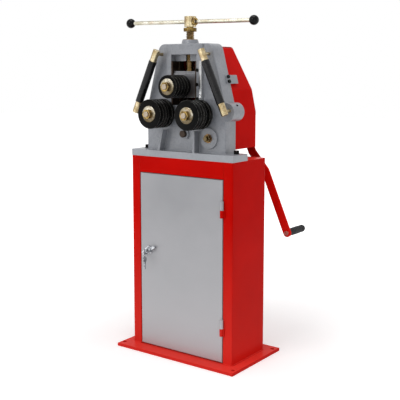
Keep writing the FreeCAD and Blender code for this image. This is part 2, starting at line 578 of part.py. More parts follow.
def head_casting():
    """Foot, hollow head, raised band round the slot, bosses, ribs and ears, all one casting."""
    body = new_body("casting_body", facing_front())
    outline = [("head_width / 2", "foot_top - 1"), ("head_width / 2", "shoulder"),
               ("top_half_width", "head_top")]
    pad(body, "head", "head_depth", height="casting_back", loops=[mirrored(outline)])
    top, front, foot = number("head_top"), number("casting_front"), number("foot_top - 1")
    round_edges(body, "top_corners_round", "top_corner",
                lambda edge: runs_along(edge, "z") and lies_at(edge, "y", top))
    round_edges(body, "front_rounding", "casting_edge",
                lambda edge: lies_at(edge, "z", front) and not lies_at(edge, "y", foot))

    foot_outline = [("cabinet_width / 2", "stand_top"), ("cabinet_width / 2", "foot_top")]
    pad(body, "foot", "foot_depth", height="front_face - foot_depth", loops=[mirrored(foot_outline)])

    band = [("band_half_width", "foot_top + band_rise"), ("band_half_width", "head_top - 2")]
    pad(body, "band", "band_proud + 2", height="casting_front - 2", loops=[mirrored(band)])
    half, proud = number("band_half_width"), number("band_front")
    round_edges(body, "band_rounding", "min(band_edge; band_proud - 0.5)",
                lambda edge: lies_at(edge, "z", proud) and runs_along(edge, "y")
                and abs(abs(edge.Vertexes[0].X) - half) < 0.01)

    front_bosses = (
        ("roller_boss", "roller_boss_front", both_sides("roller_offset", "roller_z", "roller_boss_radius")),
        ("crank_boss", "crank_boss_front", [("crank_offset", "crank_z", "crank_boss_radius")]),
        ("idler_boss", "idler_boss_front", [("0", "idler_z", "idler_boss_radius")]),
    )
    for name, face, circles in front_bosses:
        pad(body, name, f"{face} - casting_front + 2", height="casting_front - 2", circles=circles)
    pad(body, "ears", "head_depth + 2", height="casting_back",
        circles=both_sides("ear_offset", "ear_z", "ear_radius"))

    rib_top, rib_foot = "foot_top + rib_rise", "foot_top - 1"
    half_rib = "rib_thick / 2"
    left_rib = [(f"0 - left_rib_foot - {half_rib}", rib_foot), (f"{half_rib} - left_rib_foot", rib_foot),
                (f"{half_rib} - left_rib_top", rib_top), (f"0 - left_rib_top - {half_rib}", rib_top)]
    right_rib = [(f"right_rib_offset - {half_rib}", rib_foot), (f"right_rib_offset + {half_rib}", rib_foot),
                 (f"right_rib_offset + {half_rib}", rib_top), (f"right_rib_offset - {half_rib}", rib_top)]
    for name, rib in (("left_rib", left_rib), ("right_rib", right_rib)):
        pad(body, name, "rib_proud + 2", height="casting_front - 2", loops=[rib])

    inner_way = "slot_half_width + casting_wall"
    cavity_foot = "foot_top + casting_wall"
    wall_at_top = "head_width / 2 - casting_wall - side_slope * (slot_top - shoulder)"
    cavity = [(inner_way, cavity_foot), ("head_width / 2 - casting_wall", cavity_foot),
              ("head_width / 2 - casting_wall", "shoulder"), (wall_at_top, "slot_top"),
              (inner_way, "slot_top")]
    centre = [("slot_half_width", cavity_foot), ("slot_half_width", "slot_foot - casting_wall")]
    cavities = [cavity, [(f"0 - ({x})", y) for x, y in cavity], mirrored(centre)]
    for name, loop in zip(("right_cavity", "left_cavity", "centre_cavity"), cavities):
        pocket(body, name, "head_depth - front_wall", height="casting_front - front_wall", loops=[loop])

    inner_bosses = both_sides("roller_offset", "roller_z", "bush_radius + inner_boss_wall")
    inner_bosses += both_sides("ear_offset", "ear_z", "ear_radius")
    lower_bosses = [("crank_offset", "crank_z", "crank_bush_radius + inner_boss_wall"),
                    ("0", "idler_z", "idler_boss_radius")]
    lower_bosses += [(x, z, "pillar_radius + pillar_wall") for x, z in pillar_places()[:2]]
    for name, circles in (("inner_bosses", inner_bosses), ("lower_bosses", lower_bosses)):
        pad(body, name, "head_depth - front_wall + 2", height="casting_back", circles=circles)

    slot = [("slot_half_width", "slot_foot"), ("slot_half_width", "slot_top")]
    pocket(body, "slot", "head_depth + band_proud + 2", height="band_front + 1", loops=[mirrored(slot)])
    web = [("slot_half_width + 1", "web_foot"), ("slot_half_width + 1", "slot_top + 1")]
    pad(body, "web", "web_depth", height="screw_axis_depth - web_depth / 2", loops=[mirrored(web)])
    flare = [("0", "head_top - 3"), ("top_boss_radius + top_boss_flare", "head_top - 3"),
             ("top_boss_radius + top_boss_flare", "head_top"), ("top_boss_radius", "top_boss_z"),
             ("0", "top_boss_z")]
    revolve(body, "top_boss", flare, role="XY_Plane", height="screw_axis_depth")
    nut_bore = [("0", "web_foot - 1"), ("spindle_radius + 1", "web_foot - 1"),
                ("spindle_radius + 1", "slot_top"), ("nut_radius + seat_fit", "slot_top"),
                ("nut_radius + seat_fit", "top_boss_z + 1"), ("0", "top_boss_z + 1")]
    revolve(body, "nut_bore", nut_bore, kind="Groove", role="XY_Plane", height="screw_axis_depth")

    through = "roller_boss_front - casting_back + 2"
    bores = both_sides("roller_offset", "roller_z", "bush_radius + seat_fit")
    bores += [("crank_offset", "crank_z", "crank_bush_radius + seat_fit"),
              ("0", "idler_z", "idler_axle_radius + seat_fit")]
    bores += both_sides("guide_top_offset", "guide_top_z", "guide_pin_radius + running_fit")
    bores += both_sides("guide_foot_offset", "guide_foot_z", "guide_pin_radius + running_fit")
    pocket(body, "bores", through, height="roller_boss_front + 1", circles=bores)
    gib_holes = [("gib_screw_offset", z, "gib_screw_radius + seat_fit") for z in gib_screw_levels()]
    pocket(body, "gib_screw_holes", "gib_screw_length", height="band_front", circles=gib_holes)
    pocket(body, "foot_bolt_holes", "foot_thick + 2", height="1 - stand_top", role="XZ_Plane",
           circles=both_sides("foot_bolt_offset", "foot_bolt_row", "foot_bolt_radius + bolt_clearance"))
    holes = []
    for name, side in (("right", "1"), ("left", "0 - 1")):
        holes += side_screws(f"{name}_casting", side, hole=True)
        holes.append(ear_screw(name, side, hole=True))
    keep(less("head_casting", body, *holes), "head_casting")


def gib_screw_levels():
    return [f"block_foot + block_height / 2 + ({step}) * gib_screw_pitch" for step in (-1, 0, 1)]


def foot_bolts():
    pieces = []
    for name, side in (("right", "foot_bolt_offset"), ("left", "0 - foot_bolt_offset")):
        bolt = new_body(f"{name}_foot_bolt", place(side, "0 - foot_bolt_row", "foot_top"))
        pad(bolt, f"{name}_bolt_head", "foot_bolt_head", loops=[hexagon("foot_bolt_hex")])
        length = "foot_thick + top_thick + foot_nut_thick + foot_bolt_end"
        pad(bolt, f"{name}_bolt_shank", f"{length} + 1", height=f"0 - ({length})",
            circles=[("0", "0", "foot_bolt_radius")])
        nut = hex_nut(f"{name}_foot_nut", "foot_bolt_hex", "foot_nut_thick",
                      "foot_bolt_radius + seat_fit",
                      place(side, "0 - foot_bolt_row", "stand_top - top_thick - foot_nut_thick"))
        pieces += [bolt, nut]
    group("foot_bolts", *pieces)


def screw_nut():
    collar = "nut_radius + nut_flange_width"
    corners = [("spindle_radius + running_fit", "0"), ("nut_radius", "0"),
               ("nut_radius", "top_boss_z - slot_top"), (collar, "top_boss_z - slot_top"),
               (collar, "top_boss_z - slot_top + nut_flange"),
               ("spindle_radius + running_fit", "top_boss_z - slot_top + nut_flange")]
    keep(turned("screw_nut", corners, place(y="0 - screw_axis_depth", z="slot_top")), "screw_nut")


# ---- slide block and pressure screw -------------------------------------------------------------

def gib_strips():
    strips = []
    for name, side in (("right", 1), ("left", -1)):
        inner = "slot_half_width - gib_thick"
        outer = "slot_half_width - gib_seat"
        half = "tongue_width / 2 + gib_clearance"
        middle = "(block_front + block_back) / 2"
        floor = f"{inner} + tongue_height"
        section = [(inner, "0 - block_back"), (outer, "0 - block_back"), (outer, "0 - band_front"),
                   (inner, "0 - band_front"), (inner, f"0 - {middle} - ({half})"),
                   (floor, f"0 - {middle} - ({half})"), (floor, f"{half} - {middle}"),
                   (inner, f"{half} - {middle}")]
        strip = new_body(f"{name}_gib", place(z="slot_foot"))
        loop = [(f"{side} * ({x})", y) for x, y in section]
        pad(strip, f"{name}_gib_bar", "web_foot - slot_foot - gib_clearance", loops=[loop])
        strips.append(strip)
    group("gib_strips", *strips)


def slide_block():
    """Block with a tongue on each side, a bore for the upper shaft and a pocket for the screw."""
    body = new_body("slide_block", place(z="block_foot"))
    middle = "(block_front + block_back) / 2"
    half = "tongue_width / 2"
    tip = "block_half_width + tongue_height"
    outline = [("block_half_width", "0 - block_front"), ("block_half_width", f"0 - {middle} - {half}"),
               (tip, f"0 - {middle} - {half}"), (tip, f"{half} - {middle}"),
               ("block_half_width", f"{half} - {middle}"), ("block_half_width", "0 - block_back")]
    pad(body, "block", "block_height - retainer_thick", loops=[mirrored(outline)])
    pocket(body, "screw_pocket", "spindle_head_height + 2 * retainer_clearance",
           height="block_height - retainer_thick",
           circles=[("0", "0 - screw_axis_depth", "spindle_radius + bolt_clearance")])
    pocket(body, "shaft_bore", "block_front - block_back + 2", height="block_front + 1",
           role="XZ_Plane", circles=[("0", "top_roller_z - block_foot", "bush_radius + seat_fit")])
    keep(body, "slide_block")


def pressure_screw():
    at_axis = "0 - screw_axis_depth"
    retainer = box("retainer_blank", "0 - block_half_width", "retainer_inset - block_front",
                   "retainer_foot", "2 * block_half_width", "block_front - block_back - 2 * retainer_inset",
                   "retainer_thick")
    bore = rod("retainer_bore", "spindle_neck_radius + running_fit", "retainer_thick + 2",
               place(y=at_axis, z="retainer_foot - 1"))
    keep(less("spindle_retainer", retainer, bore), "spindle_retainer")

    head_foot = "retainer_foot - retainer_clearance - spindle_head_height"
    corners = [("0", "0"), ("spindle_radius", "0"), ("spindle_radius", "spindle_head_height"),
               ("spindle_neck_radius", "spindle_head_height"),
               ("spindle_neck_radius", f"block_top + retainer_clearance - ({head_foot})"),
               ("spindle_radius", f"block_top + retainer_clearance - ({head_foot})"),
               ("spindle_radius", f"spindle_top - ({head_foot})"), ("0", f"spindle_top - ({head_foot})")]
    keep(turned("spindle", corners, place(y=at_axis, z=head_foot)), "spindle")

    keep(hex_nut("jam_nut", "jam_nut_hex", "jam_nut_thick", "spindle_radius + seat_fit",
                 place(y=at_axis, z="foot_top + jam_nut_rise")), "jam_nut")

    hub_foot = "foot_top + hub_rise"
    hub = rod("hub_blank", "hub_radius", "hub_height", place(y=at_axis, z=hub_foot))
    socket = rod("hub_socket", "spindle_radius + seat_fit",
                 f"spindle_top - ({hub_foot}) + 1 + bolt_clearance",
                 place(y=at_axis, z=f"{hub_foot} - 1"))
    across = turned_by("0; 0; 1", "bar_turn") + " * " + turned_by("0; 1; 0", "90")
    cross_hole = rod("cross_hole", "bar_radius + seat_fit", "2 * hub_radius + 2",
                     place("0 - (hub_radius + 1) * cos(bar_turn)",
                           f"{at_axis} - (hub_radius + 1) * sin(bar_turn)", "bar_z", across))
    keep(less("screw_hub", hub, socket, cross_hole), "screw_hub")
    reach = "bar_half_length - ball_radius + ball_socket"
    bar_place = place(f"0 - ({reach}) * cos(bar_turn)", f"{at_axis} - ({reach}) * sin(bar_turn)",
                      "bar_z", across)
    keep(rod("t_bar", "bar_radius", f"2 * ({reach})", bar_place), "t_bar")

    knobs = []
    for name, side in (("right", "1"), ("left", "0 - 1")):
        x = f"{side} * bar_half_length * cos(bar_turn)"
        y = f"{at_axis} + {side} * bar_half_length * sin(bar_turn)"
        seam_outside = turned_by("0; 0; 1", f"90 - ({side}) * 90")
        ball = solid("Sphere", f"{name}_ball", place(x, y, "bar_z", seam_outside), Radius="ball_radius")
        depth = "ball_socket + bolt_clearance"
        inner = "bar_half_length - ball_radius - 1"
        if name == "left":
            inner = f"0 - ({inner}) - ({depth} + 1)"
        hole = rod(f"{name}_ball_socket", "bar_radius + running_fit", f"{depth} + 1",
                   place(f"({inner}) * cos(bar_turn)", f"{at_axis} + ({inner}) * sin(bar_turn)",
                         "bar_z", across))
        knobs.append(less(f"{name}_knob", ball, hole))
    group("ball_knobs", *knobs)


# ---- roller shafts ------------------------------------------------------------------------------

def roller_rings(name, outer, x, z, grooved):
    """A stack of separate rings on the shaft, some with a half-round groove for wire or tube."""
    count = 5
    width = f"(ring_end - ring_start - {count - 1} * ring_gap) / {count}"
    rings = []
    for index in range(count):
        start = f"{index} * ({width} + ring_gap)"
        end = f"{start} + {width}"
        middle = f"{start} + {width} / 2"
        rim = outer if index in grooved or index == count - 1 else f"{outer} - ring_step"
        if not grooved:
            rim = outer
        corners = [("shaft_radius + seat_fit", start), (f"{rim} - ring_chamfer", start),
                   (rim, f"{start} + ring_chamfer")]
        if index in grooved:
            corners += [(rim, f"{middle} - groove_depth"),
                        (f"{rim} - 0.7 * groove_depth", f"{middle} - 0.7 * groove_depth"),
                        (f"{rim} - groove_depth", middle),
                        (f"{rim} - 0.7 * groove_depth", f"{middle} + 0.7 * groove_depth"),
                        (rim, f"{middle} + groove_depth")]
        corners += [(rim, f"{end} - ring_chamfer"), (f"{rim} - ring_chamfer", end),
                    ("shaft_radius + seat_fit", end)]
        rings.append(turned(f"{name}_ring_{index + 1}", corners, facing_front(x, z, "ring_start")))
    group(f"{name}_rings", *rings)


def roller_shaft(name, x, z, rear, collar_back):
    """A shaft with its rear end's own corners, a collar behind the rings and a smaller threaded tip."""
    corners = rear + [("shaft_radius", collar_back), ("collar_radius", collar_back),
                      ("collar_radius", "ring_start"), ("shaft_radius", "ring_start"),
                      ("shaft_radius", "ring_end - 1"), ("thread_radius", "ring_end - 1"),
                      ("thread_radius", "shaft_tip - tip_chamfer"),
                      ("thread_radius - tip_chamfer", "shaft_tip"), ("0", "shaft_tip")]
    return turned(f"{name}_shaft_turning", corners, facing_front(x, z))


def shaft_end(name, x, z):
    keep(ring(f"{name}_washer", "washer_radius", "thread_radius + running_fit", "washer_thick",
              facing_front(x, z, "ring_end")), f"{name}_washer")
    keep(hex_nut(f"{name}_nut", "shaft_nut_hex", "shaft_nut_thick", "thread_radius + seat_fit",
                 facing_front(x, z, "ring_end + washer_thick")), f"{name}_nut")


def upper_roller():
    """The idle upper roller turns in two bushes in the slide block."""
    face = "block_back - bolt_clearance"
    back = f"{face} - top_collar_thick"
    rear = [("0", back), ("collar_radius", back), ("collar_radius", face), ("shaft_radius", face)]
    keep(roller_shaft("top", "0", "top_roller_z", rear, "block_front + bolt_clearance"), "top_shaft")
    roller_rings("top", "upper_ring_radius", "0", "top_roller_z", ())
    shaft_end("top", "0", "top_roller_z")
    bushes = []
    for name, start in (("front", "block_front - top_bush_length"), ("rear", "block_back")):
        bushes.append(ring(f"{name}_top_bush", "bush_radius", "shaft_radius + running_fit",
                           "top_bush_length", facing_front("0", "top_roller_z", start)))
    group("top_bushes", *bushes)


def gear(name, teeth, bore, where):
    """Involute gear with stub teeth, thinned for backlash; one tooth points along local x."""
    body = new_body(name, where)
    pitch = f"(gear_module * {teeth} / 2)"
    base = f"({pitch} * cos(20))"
    root = f"({pitch} - gear_module * tooth_root)"
    tip = f"({pitch} + gear_module * tooth_tip)"
    thinning = f"tooth_thinning / {pitch} * 180 / pi"
    spread = f"90 / {teeth} - {thinning} + tan(20) * 180 / pi - 20"
    radii = [f"({root} + ({tip} - {root}) * {step} / 4)" for step in range(5)]
    flank = []
    for radius in radii:
        pressure = f"acos(min(1; {base} / {radius}))"
        turn = f"({spread} - tan({pressure}) * 180 / pi + {pressure} / (1 deg))"
        flank.append((f"{radius} * cos({turn})", f"{radius} * sin({turn})"))
    x, y = flank[0]
    flank.insert(0, (f"{x} - 1", y))
    tooth = [(x, f"0 - {y}") for x, y in flank] + flank[::-1]
    pad(body, f"{name}_blank", "gear_width", circles=[("0", "0", root)])
    first = pad(body, f"{name}_tooth", "gear_width", loops=[tooth])
    pattern = body.newObject("PartDesign::PolarPattern", f"{name}_teeth")
    pattern.Originals = [first]
    pattern.Axis = (origin_item(body, "Z_Axis"), [""])
    pattern.Angle = 360
    bind(pattern, Occurrences=teeth)
    body.Tip = pattern
    pocket(body, f"{name}_bore", "gear_width + 2", height="gear_width + 1", circles=[("0", "0", bore)])
    return body


def gear_place(x, z, phase):
    turn = f"{FRONT} * {turned_by('0; 0; 1', phase)}"
    return place(x, "0 - gear_back", z, turn)


# Angles of the lines between gear centres, seen from the front, and the tooth phases they need.
RULES.update({
    "right_line": "atan2(roller_z - idler_z; roller_offset) / (1 deg)",
    "left_line": "180 - right_line",
    "pinion_line": "atan2(crank_z - roller_z; pinion_side) / (1 deg)",
    "right_phase": "right_line + 180 + 180 / gear_teeth",
    "left_phase": "left_line + 180 - (right_line - left_line) * idler_teeth / gear_teeth"
                  " + 180 / gear_teeth",
    "pinion_phase": "pinion_line + 180 - (right_phase - pinion_line) * gear_teeth / pinion_teeth"
                    " + 180 / pinion_teeth",
})


def lower_rollers():
    for name, x, phase in (("left", "0 - roller_offset", "left_phase"),
                           ("right", "roller_offset", "right_phase")):
        roller_rings(name, "lower_ring_radius", x, "roller_z", (0, 2, 3))
        shaft_end(name, x, "roller_z")
        keyway_floor = "roller_z + shaft_radius - key_sink"
        wide = "key_section + 2 * seat_fit"
        rear = [("0", "0 - shaft_back"), ("shaft_radius", "0 - shaft_back")]
        shaft = roller_shaft(name, x, "roller_z", rear, "roller_boss_front + bolt_clearance")
        keyway = box(f"{name}_shaft_keyway", f"{x} - key_section / 2 - seat_fit",
                     "0 - gear_front - seat_fit", f"{keyway_floor} - seat_fit", wide,
                     "gear_width + 2 * seat_fit", "key_section")
        keep(less(f"{name}_shaft", shaft, keyway), f"{name}_shaft")
        wheel = gear(f"{name}_gear_wheel", "gear_teeth", "shaft_radius + seat_fit",
                     gear_place(x, "roller_z", phase))
        keyway = box(f"{name}_gear_keyway", f"{x} - key_section / 2 - seat_fit",
                     "0 - gear_front - 1", f"{keyway_floor} - seat_fit", wide, "gear_width + 2", wide)
        keep(less(f"{name}_gear", wheel, keyway), f"{name}_gear")
        keep(box(f"{name}_key", f"{x} - key_section / 2", "0 - gear_front", keyway_floor,
                 "key_section", "gear_width", "key_section"), f"{name}_key")


def shaft_bushes():
    """Front bushes in the casting and short ones in the rear plate, for all three driven shafts."""
    bushes = []
    seats = (("left", "0 - roller_offset", "roller_z", "shaft_radius", "roller_boss_front"),
             ("right", "roller_offset", "roller_z", "shaft_radius", "roller_boss_front"),
             ("crank", "crank_offset", "crank_z", "crank_shaft_radius", "crank_boss_front"))
    for name, x, z, radius, front in seats:
        bushes.append(ring(f"{name}_front_bush", f"{radius} + bush_wall", f"{radius} + running_fit",
                           f"{front} - casting_back", facing_front(x, z, "casting_back")))
        bushes.append(ring(f"{name}_rear_bush", f"{radius} + bush_wall", f"{radius} + running_fit",
                           "rear_plate_thick", facing_front(x, z, "rear_plate_back")))
    group("shaft_bushes", *bushes)


def idler():
    corners = [("0", "rear_plate_back"), ("idler_axle_radius", "rear_plate_back"),
               ("idler_axle_radius", "idler_boss_front"), ("axle_head_radius", "idler_boss_front"),
               ("axle_head_radius", "idler_boss_front + axle_head_thick - tip_chamfer"),
               ("axle_head_radius - tip_chamfer", "idler_boss_front + axle_head_thick"),
               ("0", "idler_boss_front + axle_head_thick")]
    keep(turned("idler_axle", corners, facing_front("0", "idler_z")), "idler_axle")
    keep(gear("idler_gear", "idler_teeth", "idler_axle_radius + running_fit",
              gear_place("0", "idler_z", "right_line")), "idler_gear")


def pillar_places():
    """Two pillars stand on bosses low in the casting, and one on the floor of its slot."""
    low = "rear_plate_foot + pillar_inset"
    return [("rear_plate_left + pillar_inset", low), ("rear_plate_right - pillar_inset", low),
            ("0", "slot_foot - casting_wall / 2")]


def rear_plate():
    body = new_body("rear_plate", facing_front(depth="rear_plate_back"))
    outline = [("rear_plate_left", "rear_plate_foot"), ("rear_plate_right", "rear_plate_foot"),
               ("rear_plate_right", "rear_plate_top"), ("rear_plate_left", "rear_plate_top")]
    holes = both_sides("roller_offset", "roller_z", "bush_radius + seat_fit")
    holes += [("crank_offset", "crank_z", "crank_bush_radius + seat_fit"),
              ("0", "idler_z", "idler_axle_radius + seat_fit")]
    pad(body, "plate_blank", "rear_plate_thick", loops=[outline], circles=holes)
    round_edges(body, "plate_corners", "pillar_radius",
                lambda edge: runs_along(edge, "z") and len(edge.Vertexes) == 2)
    keep(body, "rear_plate")
    pillars = [rod(f"pillar_{index}", "pillar_radius", "casting_back - rear_plate_front",
                   facing_front(x, z, "rear_plate_front"))
               for index, (x, z) in enumerate(pillar_places(), start=1)]
    group("plate_pillars", *pillars)


# ---- gear cover ---------------------------------------------------------------------------------

def cover_outline(inset="0"):
    """House-shaped outline of the cover, moved inwards by its wall for the hollow."""
    top = "foot_top + cover_top_rise"
    return [(f"cover_half_width - {inset}", f"foot_top + cover_foot_gap + {inset}"),
            (f"cover_half_width - {inset}", "foot_top + cover_shoulder_rise"),
            (f"cover_waist_half_width - {inset}", "foot_top + cover_waist_rise"),
            (f"cover_top_half_width + (cover_roof - sqrt(1 + cover_roof * cover_roof)) * {inset}",
             f"{top} - {inset}")]


def gear_cover():
    body = new_body("gear_cover", facing_front())
    pad(body, "cover_blank", "cover_depth", height="cover_back", loops=[mirrored(cover_outline())])
    high = number("foot_top + cover_waist_rise") - 1
    round_edges(body, "cover_corners", "cover_corner",
                lambda edge: runs_along(edge, "z") and edge.Vertexes[0].Y > high)
    pocket(body, "cover_hollow", "cover_depth - cover_sheet", height="casting_back",
           loops=[mirrored(cover_outline("cover_sheet"))])
    pocket(body, "crank_hole", "cover_sheet + 2", height="cover_back + cover_sheet + 1",
           circles=[("crank_offset", "crank_z", "cover_hole_radius")])
    keep(body, "gear_cover")


# ---- cover clips and small screws ---------------------------------------------------------------

def casting_side(z):
    return f"head_width / 2 - side_slope * ({z} - shoulder)"


def cover_side(z):
    return f"cover_waist_half_width - cover_roof * ({z} - foot_top - cover_waist_rise)"


def cover_clips():
    """A strip screwed to each side of the casting, with a foot that reaches down to the cover."""
    clips = []
    low, high = "(clip_z - clip_height / 2)", "(clip_z + clip_height / 2)"
    for name, side in (("right", "1"), ("left", "0 - 1")):
        body = new_body(f"{name}_clip_blank", facing_front(depth="clip_front - clip_length"))
        strip = [(casting_side(low), low), (casting_side(low) + " + clip_thick", low),
                 (casting_side(high) + " + clip_thick", high), (casting_side(high), high)]
        foot = [(cover_side(low) + " + seat_fit", low), (casting_side(low) + " + 1", low),
                (casting_side(high) + " + 1", high), (cover_side(high) + " + seat_fit", high)]
        for part, loop, length in (("strip", strip, "clip_length"), ("foot", foot, "clip_foot")):
            loop = [(f"({side}) * ({x})", z) for x, z in loop]
            pad(body, f"{name}_clip_{part}", length, loops=[loop])
        clips.append(less(f"{name}_clip", body, *side_screws(name, side, hole=True)))
    group("cover_clips", *clips)


def side_screws(name, side, hole=False):
    """Screws square to the casting's sloping side, or the holes that take them."""
    turn = turned_by("0; 1; 0", f"({side}) * (90 - atan(side_slope) / (1 deg))")
    made = []
    for index, step in enumerate(("0.5", "0 - 0.5"), start=1):
        z = f"(clip_z + ({step}) * clip_screw_pitch)"
        x = f"({side}) * ({casting_side(z)})"
        normal = "atan(side_slope)"
        depth = "clip_screw_depth + 1" if hole else "clip_screw_depth"
        start = place(f"{x} - ({side}) * ({depth}) * cos({normal})", "0 - clip_front + 12",
                      f"{z} - ({depth}) * sin({normal})", turn)
        label = f"{name}_clip_screw_{index}"
        if hole:
            length = "clip_screw_depth + 2 * clip_thick + 2"
            made.append(rod(f"{label}_hole", "clip_screw_radius + seat_fit", length, start))
        else:
            seat = "clip_screw_depth + clip_thick + bolt_clearance"
            corners = [("0", "0"), ("clip_screw_radius", "0"), ("clip_screw_radius", seat),
                       ("small_head_radius", seat), ("small_head_radius", f"{seat} + small_head_thick"),
                       ("0", f"{seat} + small_head_thick")]
            made.append(turned(label, corners, start))
    return made


def ear_screw(name, side, hole=False):
    """Set screw through the ear on to the guide's lower pin."""
    turn = turned_by("0; 1; 0", f"({side}) * ear_screw_turn")
    start = "guide_pin_radius + running_fit + seat_fit"
    radius = "ear_screw_radius + seat_fit" if hole else "ear_screw_radius"
    length = "ear_radius" if hole else "ear_screw_length"
    where = place(f"({side}) * (guide_foot_offset + ({start}) * sin(ear_screw_turn))",
                  "0 - casting_back - head_depth / 2",
                  f"guide_foot_z + ({start}) * cos(ear_screw_turn)", turn)
    return rod(f"{name}_ear_{'hole' if hole else 'screw'}", radius, length, where)


def small_screws():
    screws = []
    for name, side in (("right", "1"), ("left", "0 - 1")):
        screws += side_screws(name, side)
        screws.append(ear_screw(name, side))
    for index, z in enumerate(gib_screw_levels(), start=1):
        corners = [("0", "0"), ("gib_screw_radius", "0"), ("gib_screw_radius", "gib_screw_length"),
                   ("gib_head_radius", "gib_screw_length"),
                   ("gib_head_radius", "gib_screw_length + gib_head_thick"),
                   ("0", "gib_screw_length + gib_head_thick")]
        screws.append(turned(f"gib_screw_{index}", corners,
                             facing_front("gib_screw_offset", z, "band_front - gib_screw_length")))
    group("socket_screws", *screws)


# ---- crank --------------------------------------------------------------------------------------

def crank():
    """Pinion shaft through the head, with a joggled flat arm and a loose grip at the rear."""
    corners = [("0", "0 - crank_shaft_end"), ("crank_shaft_radius", "0 - crank_shaft_end"),
               ("crank_shaft_radius", "crank_boss_front + bolt_clearance"),
               ("crank_thread_radius", "crank_boss_front + bolt_clearance"),
               ("crank_thread_radius", "crank_tip"), ("0", "crank_tip")]
    keep(turned("crank_shaft", corners, facing_front("crank_offset", "crank_z")), "crank_shaft")
    keep(hex_nut("crank_nut", "crank_nut_hex", "crank_nut_thick", "crank_thread_radius + seat_fit",
                 facing_front("crank_offset", "crank_z", "crank_boss_front + bolt_clearance")),
         "crank_nut")
    keep(gear("crank_pinion", "pinion_teeth", "crank_shaft_radius + seat_fit",
              gear_place("crank_offset", "crank_z", "pinion_phase")), "crank_pinion")

    half = "arm_width / 2"
    arm = new_body("crank_arm", place("crank_offset", "arm_plane", "crank_z",
                                      turned_by("0; 1; 0", "90 - crank_lean")))
    far = f"crank_reach + {half}"
    side = [(f"0 - {half}", "0"), ("joggle_start", "0"), ("joggle_end", "joggle"), (far, "joggle"),
            (far, "joggle + arm_thick"), ("joggle_end - 2", "joggle + arm_thick"),
            ("joggle_start - 2", "arm_thick"), (f"0 - {half}", "arm_thick")]
    pad(arm, "arm_bar", "arm_width", height=f"0 - {half}", loops=[side])
    end, start = number(far), -number(half)
    round_edges(arm, "arm_ends", f"{half} - 0.2",
                lambda edge: runs_along(edge, "y") and (lies_at(edge, "x", end)
                                                        or lies_at(edge, "x", start)))
    pad(arm, "arm_hub", "arm_hub_length + 1", height="0 - 1", role="XZ_Plane",
        circles=[("0", "0", "arm_hub_radius")])
    pocket(arm, "shaft_eye", "arm_hub_length + arm_thick + 2", height="arm_hub_length + 1",
           role="XZ_Plane", circles=[("0", "0", "crank_shaft_radius + seat_fit")])
    pocket(arm, "grip_eye", "arm_thick + 2", height="1 - joggle", role="XZ_Plane",
           circles=[("crank_reach", "0", "grip_bolt_radius + seat_fit")])
    keep(arm, "crank_arm")

    grip_x = "crank_offset + crank_reach * sin(crank_lean)"
    grip_z = "crank_z - crank_reach * cos(crank_lean)"
    arm_face = "arm_plane + joggle"
    tip = "grip_length + arm_thick - grip_wall"
    bolt = [("0", "0 - grip_bolt_head_thick"), ("grip_bolt_head", "0 - grip_bolt_head_thick"),
            ("grip_bolt_head", "0"), ("grip_bolt_radius", "0"), ("grip_bolt_radius", tip), ("0", tip)]
    keep(turned("grip_bolt", bolt, place(grip_x, arm_face, grip_z, REAR)), "grip_bolt")
    bore = "grip_bolt_radius + running_fit"
    end = "grip_length"
    grip = [(bore, "0"), ("grip_radius - tip_chamfer", "0"), ("grip_radius", "tip_chamfer"),
            ("grip_radius", f"{end} - 3 * tip_chamfer"),
            ("grip_radius - tip_chamfer", f"{end} - 0.75 * tip_chamfer"),
            ("grip_radius - 2.5 * tip_chamfer", end), ("0", end),
            ("0", f"{end} - grip_wall + 1"), (bore, f"{end} - grip_wall + 1")]
    keep(turned("grip", grip, place(grip_x, f"{arm_face} + arm_thick + bolt_clearance", grip_z, REAR)),
         "grip")


# ---- side guides --------------------------------------------------------------------------------

def side_guides():
    """Each guide: a rod between two collars on pins, with a tube that turns on the rod."""
    for name, side in (("left", "0 - 1"), ("right", "1")):
        turn = turned_by("0; 1; 0", f"180 - ({side}) * guide_lean")
        top = place(f"({side}) * guide_top_offset", "0 - guide_plane", "guide_top_z", turn)
        tip = "0 - guide_collar_tip"
        far = "guide_span + guide_collar_tip"
        frame = [("0", tip), ("guide_collar_radius", tip),
                 ("guide_collar_radius", "guide_collar_length - guide_collar_tip"),
                 ("guide_rod_radius", "guide_collar_length - guide_collar_tip"),
                 ("guide_rod_radius", f"{far} - guide_collar_length"),
                 ("guide_collar_radius", f"{far} - guide_collar_length"),
                 ("guide_collar_radius", far), ("0", far)]
        pieces = [turned(f"{name}_guide_bar", frame, top)]
        ends = (("upper", "guide_top_offset", "guide_top_z"),
                ("lower", "guide_foot_offset", "guide_foot_z"))
        for level, x, z in ends:
            pieces.append(rod(f"{name}_{level}_pin", "guide_pin_radius", "guide_pin_length",
                              facing_front(f"({side}) * {x}", z, "guide_plane - guide_pin_length")))
        keep(joined(f"{name}_guide_frame", *pieces), f"{name}_guide_frame")
        tube = [("guide_rod_radius + running_fit", "tube_start"), ("guide_tube_radius", "tube_start"),
                ("guide_tube_radius", "tube_start + tube_length"),
                ("guide_rod_radius + running_fit", "tube_start + tube_length")]
        keep(turned(f"{name}_guide_tube", tube, top), f"{name}_guide_tube")


# ---- build, check and write ---------------------------------------------------------------------

def build():
    base_plate()
    cabinet_body()
    cabinet_top()
    header_rail()
    door_panel()
    hinges()
    door_lock()
    keys()
    head_casting()
    foot_bolts()
    screw_nut()
    gib_strips()
    slide_block()
    pressure_screw()
    upper_roller()
    lower_rollers()
    shaft_bushes()
    idler()
    rear_plate()
    gear_cover()
    cover_clips()
    small_screws()
    crank()
    side_guides()
    doc.recompute()


